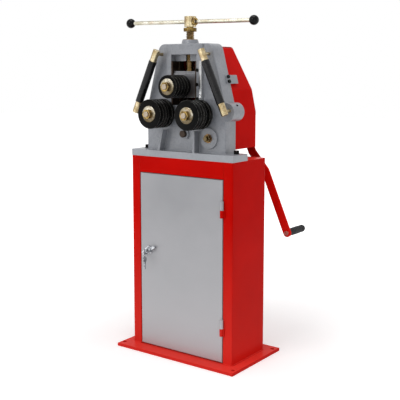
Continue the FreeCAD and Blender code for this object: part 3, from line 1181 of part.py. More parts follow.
def check():
    """Stop before anything is written if a feature failed, a cut missed or a shape is broken."""
    failed = [item.Name for item in doc.Objects if {"Invalid", "Error"} & set(item.State)]
    if failed:
        raise RuntimeError("failed features: " + ", ".join(failed))
    for before, after in cuts:
        if after.Shape.Volume > before.Shape.Volume - 0.01:
            raise RuntimeError("this cut removes nothing: " + after.Name)
    for node in nodes:
        if node.Shape.isNull() or not node.Shape.isValid() or not node.Shape.Solids:
            raise RuntimeError("bad shape: " + node.Label)
    labels = [node.Label for node in nodes]
    if len(set(labels)) != len(labels):
        raise RuntimeError("two nodes share a label")


build()
check()
os.makedirs("parts", exist_ok=True)
for node in nodes:
    node.Shape.exportStep(os.path.join("parts", node.Label + ".step"))
print(len(nodes), "nodes written")
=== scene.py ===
# %% [markdown]
# # A ring roller on its steel stand
# Three ring-shaped rollers bend bar and tube into rings: two lower ones are driven by a crank and gears, and
# the upper one is pressed down by a screw. The machine's solids and joints come from CAD, so this lesson only
# loads them, gives every part the finish of the real one, and models the pieces whose detail CAD left plain.

# %% Load the machine
import math

import bmesh
import bpy
from mathutils import Matrix, Vector


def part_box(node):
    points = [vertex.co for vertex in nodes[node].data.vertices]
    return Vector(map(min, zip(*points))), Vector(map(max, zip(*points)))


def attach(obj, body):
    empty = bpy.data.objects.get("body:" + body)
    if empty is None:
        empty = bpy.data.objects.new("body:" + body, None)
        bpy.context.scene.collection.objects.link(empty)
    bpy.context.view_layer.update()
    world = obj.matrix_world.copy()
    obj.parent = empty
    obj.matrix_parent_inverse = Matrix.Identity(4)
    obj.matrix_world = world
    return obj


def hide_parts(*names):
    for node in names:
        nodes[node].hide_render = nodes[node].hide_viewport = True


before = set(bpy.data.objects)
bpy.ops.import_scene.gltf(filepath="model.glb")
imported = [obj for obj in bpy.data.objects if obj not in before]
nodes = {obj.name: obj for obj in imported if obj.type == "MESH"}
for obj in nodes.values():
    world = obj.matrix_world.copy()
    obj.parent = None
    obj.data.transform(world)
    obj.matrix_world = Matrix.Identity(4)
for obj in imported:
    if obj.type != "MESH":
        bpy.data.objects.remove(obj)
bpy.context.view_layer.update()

# %% [markdown]
# ## Camera
# A machine catalogue shows such a roller from its front right and a little above. The camera stands about
# three metres away with a lens of 70 mm, so that the cabinet's sides stay nearly upright. A short lens nearer
# by could frame the machine alike, but the near corner of its base plate would look swollen.

# %% Camera
MM = 0.001
LOOKS_DOWN, TURNS_LEFT = 7.954, 36.206  # degrees

camera = bpy.data.objects.new("catalogue_camera", bpy.data.cameras.new("catalogue_camera"))
bpy.context.scene.collection.objects.link(camera)
camera.location = (1.7711, -2.4044, 1.0877)
camera.rotation_euler = (math.radians(90 - LOOKS_DOWN), 0, math.radians(TURNS_LEFT))
camera.data.lens = 70.765
camera.data.sensor_width = 36
camera.data.shift_y = -0.05
bpy.context.scene.camera = camera
print("camera looks down by", LOOKS_DOWN, "degrees with a lens of", camera.data.lens, "mm")

# %% [markdown]
# ## Colours and nodes
# Paint charts give colours as sRGB hex values, while the renderer counts in linear light, so one function
# turns the first into the second. Another adds a node with its settings and links, which keeps each finish
# down to a few readable lines.

# %% Colour and node helpers
def linear(code):
    """Turns a hex colour such as C00702 into linear red, green, blue and alpha."""
    parts = [int(code[i:i + 2], 16) / 255 for i in (0, 2, 4)]
    return [p / 12.92 if p <= 0.04045 else ((p + 0.055) / 1.055) ** 2.4 for p in parts] + [1]


def add(tree, kind, inputs, **settings):
    """Adds a shader node and gives its outputs. An input is a value, a hex colour or the socket it links to."""
    made = tree.nodes.new("ShaderNode" + kind)
    for name, value in settings.items():
        setattr(made, name, value)
    for name, value in inputs.items():
        if isinstance(value, bpy.types.NodeSocket):
            tree.links.new(value, made.inputs[name])
        else:
            made.inputs[name].default_value = linear(value) if isinstance(value, str) else value
    return made.outputs


print("the cabinet's red in linear light:", [round(c, 4) for c in linear("C00702")])

# %% [markdown]
# ## What every finish shares
# A finish starts from the place on the machine in metres, so its patterns keep their real size on every part.
# Its colour is a base tone with other colours laid over it where a pattern says so: clouds, stains, dust. It
# ends with a roughness and a relief that vary too, because a surface of one gloss looks like plastic.

# %% Finish helpers
def new_finish(name):
    """Starts a finish: its material, its nodes, and the place on the machine in metres."""
    material = bpy.data.materials.new(name)
    material.use_nodes = True
    return material, material.node_tree, add(material.node_tree, "TexCoord", {})["Object"]


def per(size):
    """How many patches of a size in millimetres fit in a metre, which is the scale of a pattern."""
    return 1 / (size * MM)


def lay_over(tree, tone, colour, pattern, low, high, most=1.0):
    """Lays a colour over a tone. Its share grows from 0 to most while the pattern goes from low to high."""
    share = add(tree, "MapRange", {"Value": pattern, "From Min": low, "From Max": high, "To Max": most})
    return add(tree, "Mix", {0: share["Result"], 6: tone, 7: colour}, data_type="RGBA")[2]


def close_finish(material, tone, gloss, normal, relief, depth, **constants):
    """Gives the shader its colour, roughness and relief, and sets the sockets that are the same all over.
    gloss is a pattern, the low and high between which it counts, and the roughness at each. The relief is a
    pattern over the softened normals, as deep as depth in millimetres. A constant is named after its socket,
    with underscores for spaces."""
    tree = material.node_tree
    shader = tree.nodes["Principled BSDF"]
    pattern, low, high, start, end = gloss
    rough = add(tree, "MapRange", {"Value": pattern, "From Min": low, "From Max": high, "To Min": start,
                                   "To Max": end})["Result"]
    bump = add(tree, "Bump", {"Height": relief, "Distance": depth * MM, "Strength": 1, "Normal": normal})
    for socket, source in (("Base Color", tone), ("Roughness", rough), ("Normal", bump["Normal"])):
        tree.links.new(source, shader.inputs[socket])
    for name, value in constants.items():
        shader.inputs[name.replace("_", " ")].default_value = value
    return material


print("a pattern of 5 mm patches has a scale of", per(5))

# %% [markdown]
# ## Edges
# No real edge is a perfect knife edge: paint thins over it, plating wears there first, and it catches the
# light as a fine bright line. A Bevel node rounds the normals near an edge without touching the mesh. Where
# the rounded normal and the true one differ, the point lies near an edge, which gives a mask for the wear,
# and for the painted highlight that several finishes lay along their edges.

# %% Edge helper
BEVEL_RAYS = 4
EDGE_STARTS, EDGE_FULL = 0.985, 0.8  # cosines of the angle between the two normals


def worn_and_lit_edges(tree, radius):
    """Normals whose edges are rounded by a radius in millimetres, and a mask that is 1 at an edge."""
    rounded = add(tree, "Bevel", {"Radius": radius * MM}, samples=BEVEL_RAYS)["Normal"]
    true = add(tree, "NewGeometry", {})["Normal"]
    same = add(tree, "VectorMath", {0: rounded, 1: true}, operation="DOT_PRODUCT")["Value"]
    mask = add(tree, "MapRange", {"Value": same, "From Min": EDGE_STARTS, "From Max": EDGE_FULL})["Result"]
    return rounded, mask


print("an edge starts where the normals differ by", round(math.degrees(math.acos(EDGE_STARTS))), "degrees")

# %% [markdown]
# ## Red enamel
# The cabinet, base plate, gear cover and crank arm are sprayed with a red machine enamel over folded sheet.
# A sprayed coat dries with a faint orange peel, and it is thinner, so a little lighter, along the edges, where
# the lighter line is also a painted highlight. Faces that look up are painted paler as a sheen of the bright
# room, the lower front and sides paler and pinker as light bounced from the floor, and dusty patches are less
# shiny. The white room would wash it out to pink if it mirrored as much as fresh paint does, so its specular
# level is low.

# %% Red enamel
def red_enamel(name, deep, light, shaded_above=None):
    """Sprayed alkyd enamel: saturated red with soft clouds of tone and dusty, less shiny patches. Faces that
    look up get a painted pale sheen, and the front and sides near the floor a painted paler, pinker light
    bounced from the floor. Above a height in metres, if one is given, a painted shade darkens it."""
    finish, tree, place = new_finish(name)
    clouds = add(tree, "TexNoise", {"Vector": place, "Scale": per(160), "Detail": 2})["Fac"]
    tone = lay_over(tree, deep, light, clouds, 0.3, 0.7)
    facing = add(tree, "SeparateXYZ", {0: add(tree, "TexCoord", {})["Normal"]})
    # Faces that look up are painted a paler, pinker red: a painted sheen of the bright room.
    tone = lay_over(tree, tone, "FF4A40", facing["Z"], 0.7, 0.95, 0.6)
    height = add(tree, "SeparateXYZ", {0: place})["Z"]
    # Lower down, the front and side faces are painted paler and pinker: painted light bounced up from the
    # floor.
    near_floor = add(tree, "MapRange", {"Value": height, "From Min": 0.55, "From Max": 0.1, "To Max": 0.45})
    in_front = add(tree, "MapRange", {"Value": facing["Y"], "From Min": 0.5, "From Max": -0.9, "To Min": 0.15})
    floor_bounce_share = add(tree, "Math", {0: near_floor["Result"], 1: in_front["Result"]}, operation="MULTIPLY")[0]
    tone = add(tree, "Mix", {0: floor_bounce_share, 6: tone, 7: "F4463C"}, data_type="RGBA")[2]
    # Above the given height the red is painted darker: painted shade over the crank arm's bent part.
    if shaded_above:
        tone = lay_over(tree, tone, "4A0806", height, shaded_above, shaded_above + 0.04, 0.6)
    rounded, edge = worn_and_lit_edges(tree, 2)
    # Edges: paler where the coat is thinner, and the same pale line is a painted highlight.
    tone = lay_over(tree, tone, "DE2F22", edge, 0, 1, 0.5)
    dust = add(tree, "TexNoise", {"Vector": place, "Scale": per(45), "Detail": 4, "Roughness": 0.65})["Fac"]
    peel = add(tree, "TexNoise", {"Vector": place, "Scale": per(5), "Detail": 2})["Fac"]
    return close_finish(finish, tone, (dust, 0.3, 0.75, 0.2, 0.28), rounded, peel, 0.02,
                        IOR=1.4, Specular_IOR_Level=0.025)


red = red_enamel("red_enamel", "C00702", "CE0A04")
# The crank's arm gets brighter reds than the cabinet, a painted lit copy of the same enamel, and painted shade
# above 0.71 m.
crank_red_lit_and_shaded = red_enamel("crank_enamel_painted_light", "D8120C", "E41A12", shaded_above=0.71)
print("sprayed:", red.name, "and", crank_red_lit_and_shaded.name)

# %% [markdown]
# ## Door enamel
# The door is sprayed in a light grey semi-gloss enamel. Its lower half is painted paler: painted light bounced
# from the floor. A thin clear coat over the grey gives the soft sheen of a coat that has flowed out, without
# mirroring the room sharply.

# %% Door enamel
def door_enamel():
    """Semi-gloss polyester enamel on folded sheet: light grey with faint clouds and soft reflections, and
    painted paler towards the foot: painted light bounced from the floor."""
    finish, tree, place = new_finish("door_enamel")
    clouds = add(tree, "TexNoise", {"Vector": place, "Scale": per(220), "Detail": 3})["Fac"]
    tone = lay_over(tree, "97989C", "A4A4A8", clouds, 0.3, 0.7)
    height = add(tree, "SeparateXYZ", {0: place})["Z"]
    # Towards the foot the grey is painted paler: painted light bounced from the floor.
    tone = lay_over(tree, tone, "C4C4C7", height, 0.6, 0.15, 0.7)
    rounded, edge = worn_and_lit_edges(tree, 2)
    # Edges: paler where the coat is thinner, and the same pale line is a painted highlight.
    tone = lay_over(tree, tone, "C6C7CA", edge, 0, 1, 0.5)
    dust = add(tree, "TexNoise", {"Vector": place, "Scale": per(60), "Detail": 4})["Fac"]
    peel = add(tree, "TexNoise", {"Vector": place, "Scale": per(6), "Detail": 2})["Fac"]
    return close_finish(finish, tone, (dust, 0.3, 0.7, 0.34, 0.48), rounded, peel, 0.04,
                        IOR=1.5, Coat_Weight=0.15, Coat_Roughness=0.2)


door_grey = door_enamel()
print("sprayed:", door_grey.name)

# %% [markdown]
# ## Cast enamel
# The castings wear a cooler grey straight over the skin that the sand mould left, so their surface is grainy
# and takes a dusting of dark grime in its hollows. A displaced mesh could show that grain, but it would take
# millions of faces for humps that only change how the light breaks, so a bump makes it instead.

# %% Cast enamel
FLANGE = (0.794, 0.784)  # heights in metres between which the foot's flange is painted a paler grey


def cast_enamel(name, grime_and_shade, shaded_below=None):
    """Enamel over sand-cast grey iron: cool mid grey, a skin of 7 mm humps drawn coarser than real sand,
    which is under 0.5 mm and would vanish at this distance, and brown oil stains, heavier where parts slide;
    on the slide block these heavy stains are partly painted shade. The foot's flange, between the FLANGE
    heights, is painted a paler grey. Below a height in metres, if one is given, a painted shade darkens the
    part where a roller's shadow falls."""
    finish, tree, place = new_finish(name)
    clouds = add(tree, "TexNoise", {"Vector": place, "Scale": per(60), "Detail": 4, "Roughness": 0.6})["Fac"]
    tone = lay_over(tree, "7F8289", "91949B", clouds, 0.3, 0.7)
    skin = add(tree, "TexNoise", {"Vector": place, "Scale": per(7), "Detail": 4, "Roughness": 0.7})["Fac"]
    tone = lay_over(tree, tone, "5E6066", skin, 0.5, 0.3, 0.4)
    oil = add(tree, "TexNoise", {"Vector": place, "Scale": per(35), "Detail": 4, "Roughness": 0.6})["Fac"]
    tone = lay_over(tree, tone, "3E342C", oil, 0.35, 0.65, grime_and_shade)
    height = add(tree, "SeparateXYZ", {0: place})["Z"]
    # The foot's flange, between these heights, is painted a paler grey.
    tone = lay_over(tree, tone, "BEC2C8", height, *FLANGE, 0.28)
    if shaded_below:
        # Below the given height the part is painted darker: painted shade where the top roller's shadow falls.
        tone = lay_over(tree, tone, "352C27", height, shaded_below, shaded_below - 0.02, 0.75)
    rounded, edge = worn_and_lit_edges(tree, 2.5)
    # Edges: paler where the paint thins, and a painted highlight along the casting's rounded edges.
    tone = lay_over(tree, tone, "CDD0D6", edge, 0, 1, 0.6)
    return close_finish(finish, tone, (skin, 0.3, 0.7, 0.46, 0.32), rounded, skin, 0.5,
                        IOR=1.5, Coat_Weight=0.35, Coat_Roughness=0.22)


cast_grey = cast_enamel("cast_enamel", grime_and_shade=0.1)
# The slide block's finish: its heavy dark stains are partly oil and partly painted shade, and below 1.068 m it
# is painted darker where the top roller's shadow falls.
oily_and_shaded_grey = cast_enamel("oily_enamel_painted_shade", grime_and_shade=0.6, shaded_below=1.068)
print("sprayed:", cast_grey.name, "and", oily_and_shaded_grey.name)

# %% [markdown]
# ## Black oxide
# The rollers are hardened and blackened in a hot oxide bath. The film is a satin near-black with a breath of
# brown, and it is thinnest on the chamfers, where bright steel shows through; that pale line also paints the
# highlights along the rims. Screws get the same bath, but wear less. The film hides the steel, so the shader is
# only a little metallic.

# %% Black oxide
def black_oxide(name, bare_and_lit_edges):
    """Magnetite film on turned steel: near black, satin, with oil stains and bare steel at worn edges, whose
    pale line also paints a highlight.
    """
    finish, tree, place = new_finish(name)
    stains = add(tree, "TexNoise", {"Vector": place, "Scale": per(18), "Detail": 4, "Roughness": 0.6})["Fac"]
    tone = lay_over(tree, "070708", "100F0D", stains, 0.35, 0.7)
    rounded, edge = worn_and_lit_edges(tree, 1.2)
    # Pale steel along the edges: worn film, and on the rollers also a painted highlight.
    tone = lay_over(tree, tone, "B8B6B0", edge, 0, 1, bare_and_lit_edges)
    pits = add(tree, "TexNoise", {"Vector": place, "Scale": per(3.5), "Detail": 3})["Fac"]
    return close_finish(finish, tone, (stains, 0.3, 0.75, 0.26, 0.42), rounded, pits, 0.06,
                        Metallic=0.2, Specular_IOR_Level=0.06)


rollers_black = black_oxide("black_oxide_rollers", bare_and_lit_edges=0.7)
screws_black = black_oxide("black_oxide_screws", bare_and_lit_edges=0.15)
print("blackened:", rollers_black.name, "and", screws_black.name)

# %% [markdown]
# ## Black lacquer
# The guide rollers are drawn tube, sprayed with a thin black lacquer. Work slides along them all day, so the
# coat is mottled and grey at the ends. Two blacks mixed by a fine noise show this better than one black.

# %% Black lacquer
def black_lacquer():
    """Thin lacquer on drawn tube: black, half gloss, mottled where the coat is uneven."""
    finish, tree, place = new_finish("black_lacquer")
    mottle = add(tree, "TexNoise", {"Vector": place, "Scale": per(12), "Detail": 4, "Roughness": 0.65})["Fac"]
    tone = lay_over(tree, "09090B", "1C1B1C", mottle, 0.4, 0.7)
    rounded, edge = worn_and_lit_edges(tree, 1.2)
    tone = lay_over(tree, tone, "77746E", edge, 0, 1, 0.4)
    return close_finish(finish, tone, (mottle, 0.3, 0.7, 0.22, 0.4), rounded, mottle, 0.08,
                        IOR=1.45, Specular_IOR_Level=0.3)


tube_black = black_lacquer()
print("lacquered:", tube_black.name)

# %% [markdown]
# ## Yellow zinc
# Washers, nuts, collars and the pressing screw's hub are zinc plated and passivated in a yellow chromate. It
# gives a gold that drifts to straw and to rose from place to place, with fine dark specks of handling. Only a
# colour that varies at two scales shows that drift, so a large and a small noise are mixed. Each batch comes
# out of the bath a little paler or browner, and oil turns the screw's and the crank nut's plating dark.

# %% Yellow zinc
def yellow_zinc(name, pale, deep, speck, specks, shaded_downward=0.0):
    """Chromated zinc on steel: gold metal with cloudy hue drift and specks. On faces that look down a little,
    a painted shade darkens it by the given share."""
    finish, tree, place = new_finish(name)
    drift = add(tree, "TexNoise", {"Vector": place, "Scale": per(26), "Detail": 2})["Fac"]
    tone = lay_over(tree, pale, deep, drift, 0.35, 0.65)
    rose = add(tree, "TexNoise", {"Vector": place, "Scale": per(17), "Detail": 2})["Fac"]
    tone = lay_over(tree, tone, "B98E74", rose, 0.55, 0.75, 0.35)
    fine = add(tree, "TexNoise", {"Vector": place, "Scale": per(4.5), "Detail": 4, "Roughness": 0.7})["Fac"]
    tone = lay_over(tree, tone, speck, fine, 0.5, 0.66, specks)
    if shaded_downward:
        # Faces that look down are painted darker: painted shade.
        facing = add(tree, "SeparateXYZ", {0: add(tree, "TexCoord", {})["Normal"]})["Z"]
        tone = lay_over(tree, tone, "4A3C22", facing, 0.05, -0.05, shaded_downward)
    rounded, edge = worn_and_lit_edges(tree, 0.8)
    # Pale cream along every edge: a painted highlight.
    tone = lay_over(tree, tone, "F4E6BE", edge, 0, 1, 0.6)
    return close_finish(finish, tone, (fine, 0.35, 0.7, 0.27, 0.45), rounded, fine, 0.06 * specks, Metallic=1)


zinc = yellow_zinc("yellow_zinc", "D2C5A2", "A6916A", "4A3A24", specks=0.6)
nut_zinc = yellow_zinc("nut_zinc", "A88C50", "4E3A1C", "241A0E", specks=0.9)
washer_zinc = yellow_zinc("washer_zinc", "D8D2C2", "94886C", "3A3024", specks=0.9, shaded_downward=0.85)
oiled_zinc = yellow_zinc("oiled_zinc", "76603A", "4E3D22", "241A10", specks=0.5)
pale_zinc = yellow_zinc("pale_zinc", "C9C5B8", "A9A490", "6E695C", specks=0.1)
bolt_zinc = yellow_zinc("bolt_zinc", "E2DED2", "C4BDAA", "8C8470", specks=0.3)
print("plated:", [f.name for f in (zinc, nut_zinc, washer_zinc, oiled_zinc, pale_zinc, bolt_zinc)])

# %% [markdown]
# ## Bright and oiled steel
# Shafts are turned and left bright. Gears and their plates are milled, then oiled, which darkens them and
# leaves brown smears. Both carry the fine lines of the tool; those are only tens of microns apart, so they
# are drawn 1.5 to 2 mm apart here to show at all. A Mapping node stretches a noise into such lines.

# %% Bright and oiled steel
ROUND_SHAFT, ACROSS_FACE = (60, 700, 60), (500, 60, 60)  # how often the tool's lines repeat in a metre


def machined_steel(name, light, dark, smear, tip=None, tip_tone="948878"):
    """Machined steel: cool grey metal, tool lines over the face or round the shaft, smears of oil. A shaft's
    end in front of tip, in millimetres, has the tone of its nut, from the same bath."""
    finish, tree, place = new_finish(name)
    clouds = add(tree, "TexNoise", {"Vector": place, "Scale": per(22), "Detail": 3})["Fac"]
    tone = lay_over(tree, light, dark, clouds, 0.35, 0.65)
    oil = add(tree, "TexNoise", {"Vector": place, "Scale": per(40), "Detail": 4, "Roughness": 0.6})["Fac"]
    tone = lay_over(tree, tone, smear, oil, 0.5, 0.75, 0.6)
    if tip:
        ahead = add(tree, "SeparateXYZ", {0: place})["Y"]
        tone = lay_over(tree, tone, tip_tone, ahead, (1 - tip) * MM, -tip * MM)
    stretch = ROUND_SHAFT if tip else ACROSS_FACE
    along = add(tree, "Mapping", {"Vector": place, "Scale": stretch})["Vector"]
    lines = add(tree, "TexNoise", {"Vector": along, "Scale": 1, "Detail": 2})["Fac"]
    rounded = add(tree, "Bevel", {"Radius": 0.8 * MM}, samples=BEVEL_RAYS)["Normal"]
    return close_finish(finish, tone, (oil, 0.35, 0.7, 0.24, 0.42), rounded, lines, 0.05, Metallic=1)


turned = ("BDBBB6", "A5A29C", "7F7766")
shaft_steel = machined_steel("roller_shaft_steel", *turned, tip=187)
crank_steel = machined_steel("crank_shaft_steel", *turned, tip=97, tip_tone="5A4E38")
pin_steel = machined_steel("turned_steel", *turned)
gear_steel = machined_steel("milled_steel", "9C9994", "86827B", "5C5140")
# The keeper strip's pale ground steel paints the highlight of the casting's rounded edge.
keeper_highlight_steel = machined_steel("ground_steel_painted_highlight", "B9BABB", "ABACAD", "A09D97")
print("machined:", [f.name for f in (shaft_steel, crank_steel, pin_steel, gear_steel, keeper_highlight_steel)])

# %% [markdown]
# ## Browned steel
# The idler's axle and the adjustable slide strips were heated and quenched in oil, which leaves a dull dark
# brown film. Some of the steel shows through the film, so the shader is mostly metallic, but not wholly.

# %% Browned steel
def browned_steel():
    """Steel heated in oil: a dull dark brown film with blotches, rubbed lighter at the edges."""
    finish, tree, place = new_finish("browned_steel")
    stains = add(tree, "TexNoise", {"Vector": place, "Scale": per(9), "Detail": 4, "Roughness": 0.6})["Fac"]
    tone = lay_over(tree, "2A211C", "45372C", stains, 0.35, 0.7)
    rounded, edge = worn_and_lit_edges(tree, 1)
    tone = lay_over(tree, tone, "8C7A66", edge, 0, 1, 0.5)
    return close_finish(finish, tone, (stains, 0.3, 0.7, 0.38, 0.55), rounded, stains, 0.08, Metallic=0.7)


brown_steel = browned_steel()
print("browned:", brown_steel.name)

# %% [markdown]
# ## Chrome
# The lock and its keys are die-cast and chrome plated. They mirror the room. One pattern paints large dark
# reflections into the colour and stands for smudges of fingers in the roughness.

# %% Chrome
def chrome():
    """Nickel and chromium over zinc: a bluish mirror with painted dark reflections and smudges that dull it a
    little.
    """
    finish, tree, place = new_finish("chrome_plate")
    smudges_and_reflections = add(tree, "TexNoise", {"Vector": place, "Scale": per(9), "Detail": 4, "Roughness": 0.6})["Fac"]
    # The dark patches in the colour are painted reflections of a darker room.
    tone = lay_over(tree, "C6C8CC", "4E5054", smudges_and_reflections, 0.4, 0.7)
    rounded = add(tree, "Bevel", {"Radius": 0.7 * MM}, samples=BEVEL_RAYS)["Normal"]
    return close_finish(finish, tone, (smudges_and_reflections, 0.35, 0.75, 0.08, 0.24), rounded, smudges_and_reflections, 0.01, Metallic=1)


lock_chrome = chrome()
print("plated:", lock_chrome.name)

# %% [markdown]
# ## Bronze
# The bushes and the screw's nut are cast bronze, because steel turning in steel would seize. Their faces are
# bored bright and soon go brown where oil stands.

# %% Bronze
def cast_bronze():
    """Leaded tin bronze, bored and faced: warm brown gold, darker where oil has stood."""
    finish, tree, place = new_finish("cast_bronze")
    stains = add(tree, "TexNoise", {"Vector": place, "Scale": per(12), "Detail": 4, "Roughness": 0.6})["Fac"]
    tone = lay_over(tree, "8E6C42", "5C4428", stains, 0.35, 0.7)
    rounded = add(tree, "Bevel", {"Radius": 0.8 * MM}, samples=BEVEL_RAYS)["Normal"]
    return close_finish(finish, tone, (stains, 0.3, 0.7, 0.3, 0.46), rounded, stains, 0.05, Metallic=1)


bush_bronze = cast_bronze()
print("cast:", bush_bronze.name)

# %% [markdown]
# ## Phenolic resin and the grip's moulding
# The ball knobs are moulded in black phenolic resin, hard and glossy. The crank's grip is a softer black
# moulding with a fine leathery grain, which the cells of a Voronoi texture give. Blacks look grey under an
# even white room, so both have a low specular level.

# %% Phenolic resin
def phenolic():
    """Compression moulded phenolic resin: deep black with a wet-looking skin and faint flow marks."""
    finish, tree, place = new_finish("phenolic_black")
    flow = add(tree, "TexNoise", {"Vector": place, "Scale": per(14), "Detail": 3})["Fac"]
    tone = lay_over(tree, "060607", "0E0E10", flow, 0.35, 0.7)
    rounded = add(tree, "Bevel", {"Radius": 0.8 * MM}, samples=BEVEL_RAYS)["Normal"]
    return close_finish(finish, tone, (flow, 0.3, 0.7, 0.1, 0.2), rounded, flow, 0.02,
                        IOR=1.5, Specular_IOR_Level=0.12)


knob_black = phenolic()
print("moulded:", knob_black.name)

# %% Grip moulding
def grip_moulding():
    """Soft moulded grip: charcoal, matt, grained, shinier where hands have polished it."""
    finish, tree, place = new_finish("grip_moulding")
    worn = add(tree, "TexNoise", {"Vector": place, "Scale": per(30), "Detail": 3})["Fac"]
    tone = lay_over(tree, "131315", "212124", worn, 0.35, 0.7)
    grain = add(tree, "TexVoronoi", {"Vector": place, "Scale": per(2.5)})["Distance"]
    rounded = add(tree, "Bevel", {"Radius": 1 * MM}, samples=BEVEL_RAYS)["Normal"]
    return close_finish(finish, tone, (worn, 0.3, 0.7, 0.6, 0.42), rounded, grain, 0.12,
                        IOR=1.5, Specular_IOR_Level=0.2)


grip_black = grip_moulding()
print("moulded:", grip_black.name)

# %% [markdown]
# ## Which part gets which finish
# Every CAD part is named once here with the finish of the real one. The list is checked against the frame, so
# that no part is left in its plain CAD colour.

# %% Give the CAD parts their finishes
finishes = {
    red: "base_plate cabinet_body header_rail top_plate frame_knuckles gear_cover",
    crank_red_lit_and_shaded: "crank_arm",
    door_grey: "door_panel door_knuckles",
    cast_grey: "head_casting cover_clips",
    oily_and_shaded_grey: "slide_block spindle_retainer",
    rollers_black: "left_rings right_rings top_rings",
    screws_black: "foot_bolts socket_screws",
    tube_black: "left_guide_tube right_guide_tube",
    zinc: "screw_hub left_guide_frame right_guide_frame",
    nut_zinc: "left_nut right_nut top_nut jam_nut",
    washer_zinc: "left_washer right_washer top_washer",
    pale_zinc: "t_bar",
    oiled_zinc: "spindle crank_nut",
    bolt_zinc: "grip_bolt",
    shaft_steel: "left_shaft right_shaft top_shaft",
    crank_steel: "crank_shaft",
    pin_steel: "hinge_pins",
    gear_steel: "left_gear right_gear idler_gear crank_pinion left_key right_key rear_plate plate_pillars",
    brown_steel: "idler_axle gib_strips",
    lock_chrome: "lock_barrel lock_lever lock_cam lock_key key_ring spare_key",
    bush_bronze: "shaft_bushes top_bushes screw_nut",
    knob_black: "ball_knobs",
    grip_black: "grip",
}
for finish, names in finishes.items():
    for name in names.split():
        nodes[name].data.materials.clear()
        nodes[name].data.materials.append(finish)
left_plain = set(nodes) - {name for names in finishes.values() for name in names.split()}
print(len(finishes), "finishes given, parts left plain:", sorted(left_plain))

# %% [markdown]
# ## Floor
# The machine stands on a plain pale floor that runs on into a white room. What the camera, gloss and glass
# see there is white; what lights the machine is an even grey, or every colour would wash out. The Light Path
# node tells the two apart. A wall behind could do it too, but it would show as a horizon in the side views.

# %% Floor
def seen_rays(tree):
    """1 for what the camera, gloss and glass see, and 0 for the light that falls on the machine."""
    ray = add(tree, "LightPath", {})
    seen = add(tree, "Math", {0: ray["Is Camera Ray"], 1: ray["Is Glossy Ray"]}, operation="MAXIMUM")[0]
    return add(tree, "Math", {0: seen, 1: ray["Is Transmission Ray"]}, operation="MAXIMUM")[0]


def studio_paper():
    """Seamless studio paper that fades into the white room: it glows more the farther it is from the machine,
    for the camera and for gloss, so that no horizon shows and the soft shadow stays."""
    finish, tree, place = new_finish("studio_paper")
    shader = tree.nodes["Principled BSDF"]
    fibre = add(tree, "TexNoise", {"Vector": place, "Scale": per(30), "Detail": 3})["Fac"]
    tone = add(tree, "Mix", {0: fibre, 6: "F2F2F2", 7: "F8F8F8"}, data_type="RGBA")[2]
    rough = add(tree, "MapRange", {"Value": fibre, "From Min": 0.3, "From Max": 0.7, "To Min": 0.85,
                                   "To Max": 0.95})["Result"]
    away = add(tree, "VectorMath", {0: place}, operation="LENGTH")["Value"]
    level = add(tree, "MapRange", {"Value": away, "From Min": 0.5, "From Max": 2.2, "To Min": 0.3,
                                   "To Max": 0.9})["Result"]
    glow = add(tree, "Math", {0: seen_rays(tree), 1: level}, operation="MULTIPLY")[0]
    for socket, source in (("Base Color", tone), ("Roughness", rough), ("Emission Strength", glow)):
        tree.links.new(source, shader.inputs[socket])
    shader.inputs["Specular IOR Level"].default_value = 0.1
    shader.inputs["Emission Color"].default_value = linear("FFFFFF")
    return finish


HALF_FLOOR = 14  # metres

sheet = bmesh.new()
bmesh.ops.create_grid(sheet, x_segments=1, y_segments=1, size=HALF_FLOOR)
floor = bpy.data.objects.new("studio_floor", bpy.data.meshes.new("studio_floor"))
sheet.to_mesh(floor.data)
sheet.free()
floor.data.materials.append(studio_paper())
bpy.context.scene.collection.objects.link(floor)
print("floor:", 2 * HALF_FLOOR, "m across")

# %% [markdown]
# ## Light
# Five softboxes light the machine. The strongest stands before it and one hangs above, so the front is
# brighter than the side and the faces that look up are the brightest. The room adds an even grey. A picture
# of a studio could light it too, but it would have to be read from a file.

# %% Light
def softbox(name, place, aim, size, power):
    """A square white lamp of a size in metres and a power in watts, which shines from a place to a point."""
    light = bpy.data.objects.new(name, bpy.data.lights.new(name, "AREA"))
    light.data.shape = "SQUARE"
    light.data.size = size
    light.data.energy = power
    light.location = place
    light.rotation_euler = (Vector(aim) - Vector(place)).to_track_quat("-Z", "Y").to_euler()
    bpy.context.scene.collection.objects.link(light)


softbox("key_softbox", (-0.4, -3.2, 2.8), (0, 0, 0.7), size=1.8, power=38)
softbox("front_softbox", (-2.3, -3.3, 0.7), (0, 0, 0.3), size=1.5, power=8)
softbox("right_softbox", (2.6, -2.1, 1.1), (0, 0, 0.8), size=0.9, power=6)
softbox("side_softbox", (2.7, 1.8, 1.5), (0, 0, 0.8), size=1.6, power=11)
softbox("top_softbox", (0.2, -0.4, 3.4), (0, 0, 0.8), size=1.6, power=31)

ROOM_LIGHT, ROOM_SEEN = 0.42, 1

world = bpy.data.worlds.new("white_room")
world.use_nodes = True
bpy.context.scene.world = world
room = world.node_tree
background = room.nodes["Background"].inputs
background["Color"].default_value = linear("FFFFFF")
strength = add(room, "MapRange", {"Value": seen_rays(room), "To Min": ROOM_LIGHT, "To Max": ROOM_SEEN})
room.links.new(strength["Result"], background["Strength"])
bpy.context.scene.view_settings.view_transform = "Standard"

# %% [markdown]
# ## Piece helpers
# Each new piece starts as a bmesh, is shaped by operators, and becomes an object at the origin with its place
# in its mesh, as a CAD part is. It then rides on a body of the frame, so that it moves with the machine. Most
# pieces are turned round the Z axis, as on a lathe, and are then tipped to lie along the roller's shaft.

# %% Piece helpers
SAME_POINT = 0.00001  # metres; corners nearer than this are one
TO_FRONT = Matrix.Rotation(math.pi / 2, 4, "X")  # tips the Z axis to the machine's front, which is -Y
TO_BACK = Matrix.Rotation(-math.pi / 2, 4, "X")


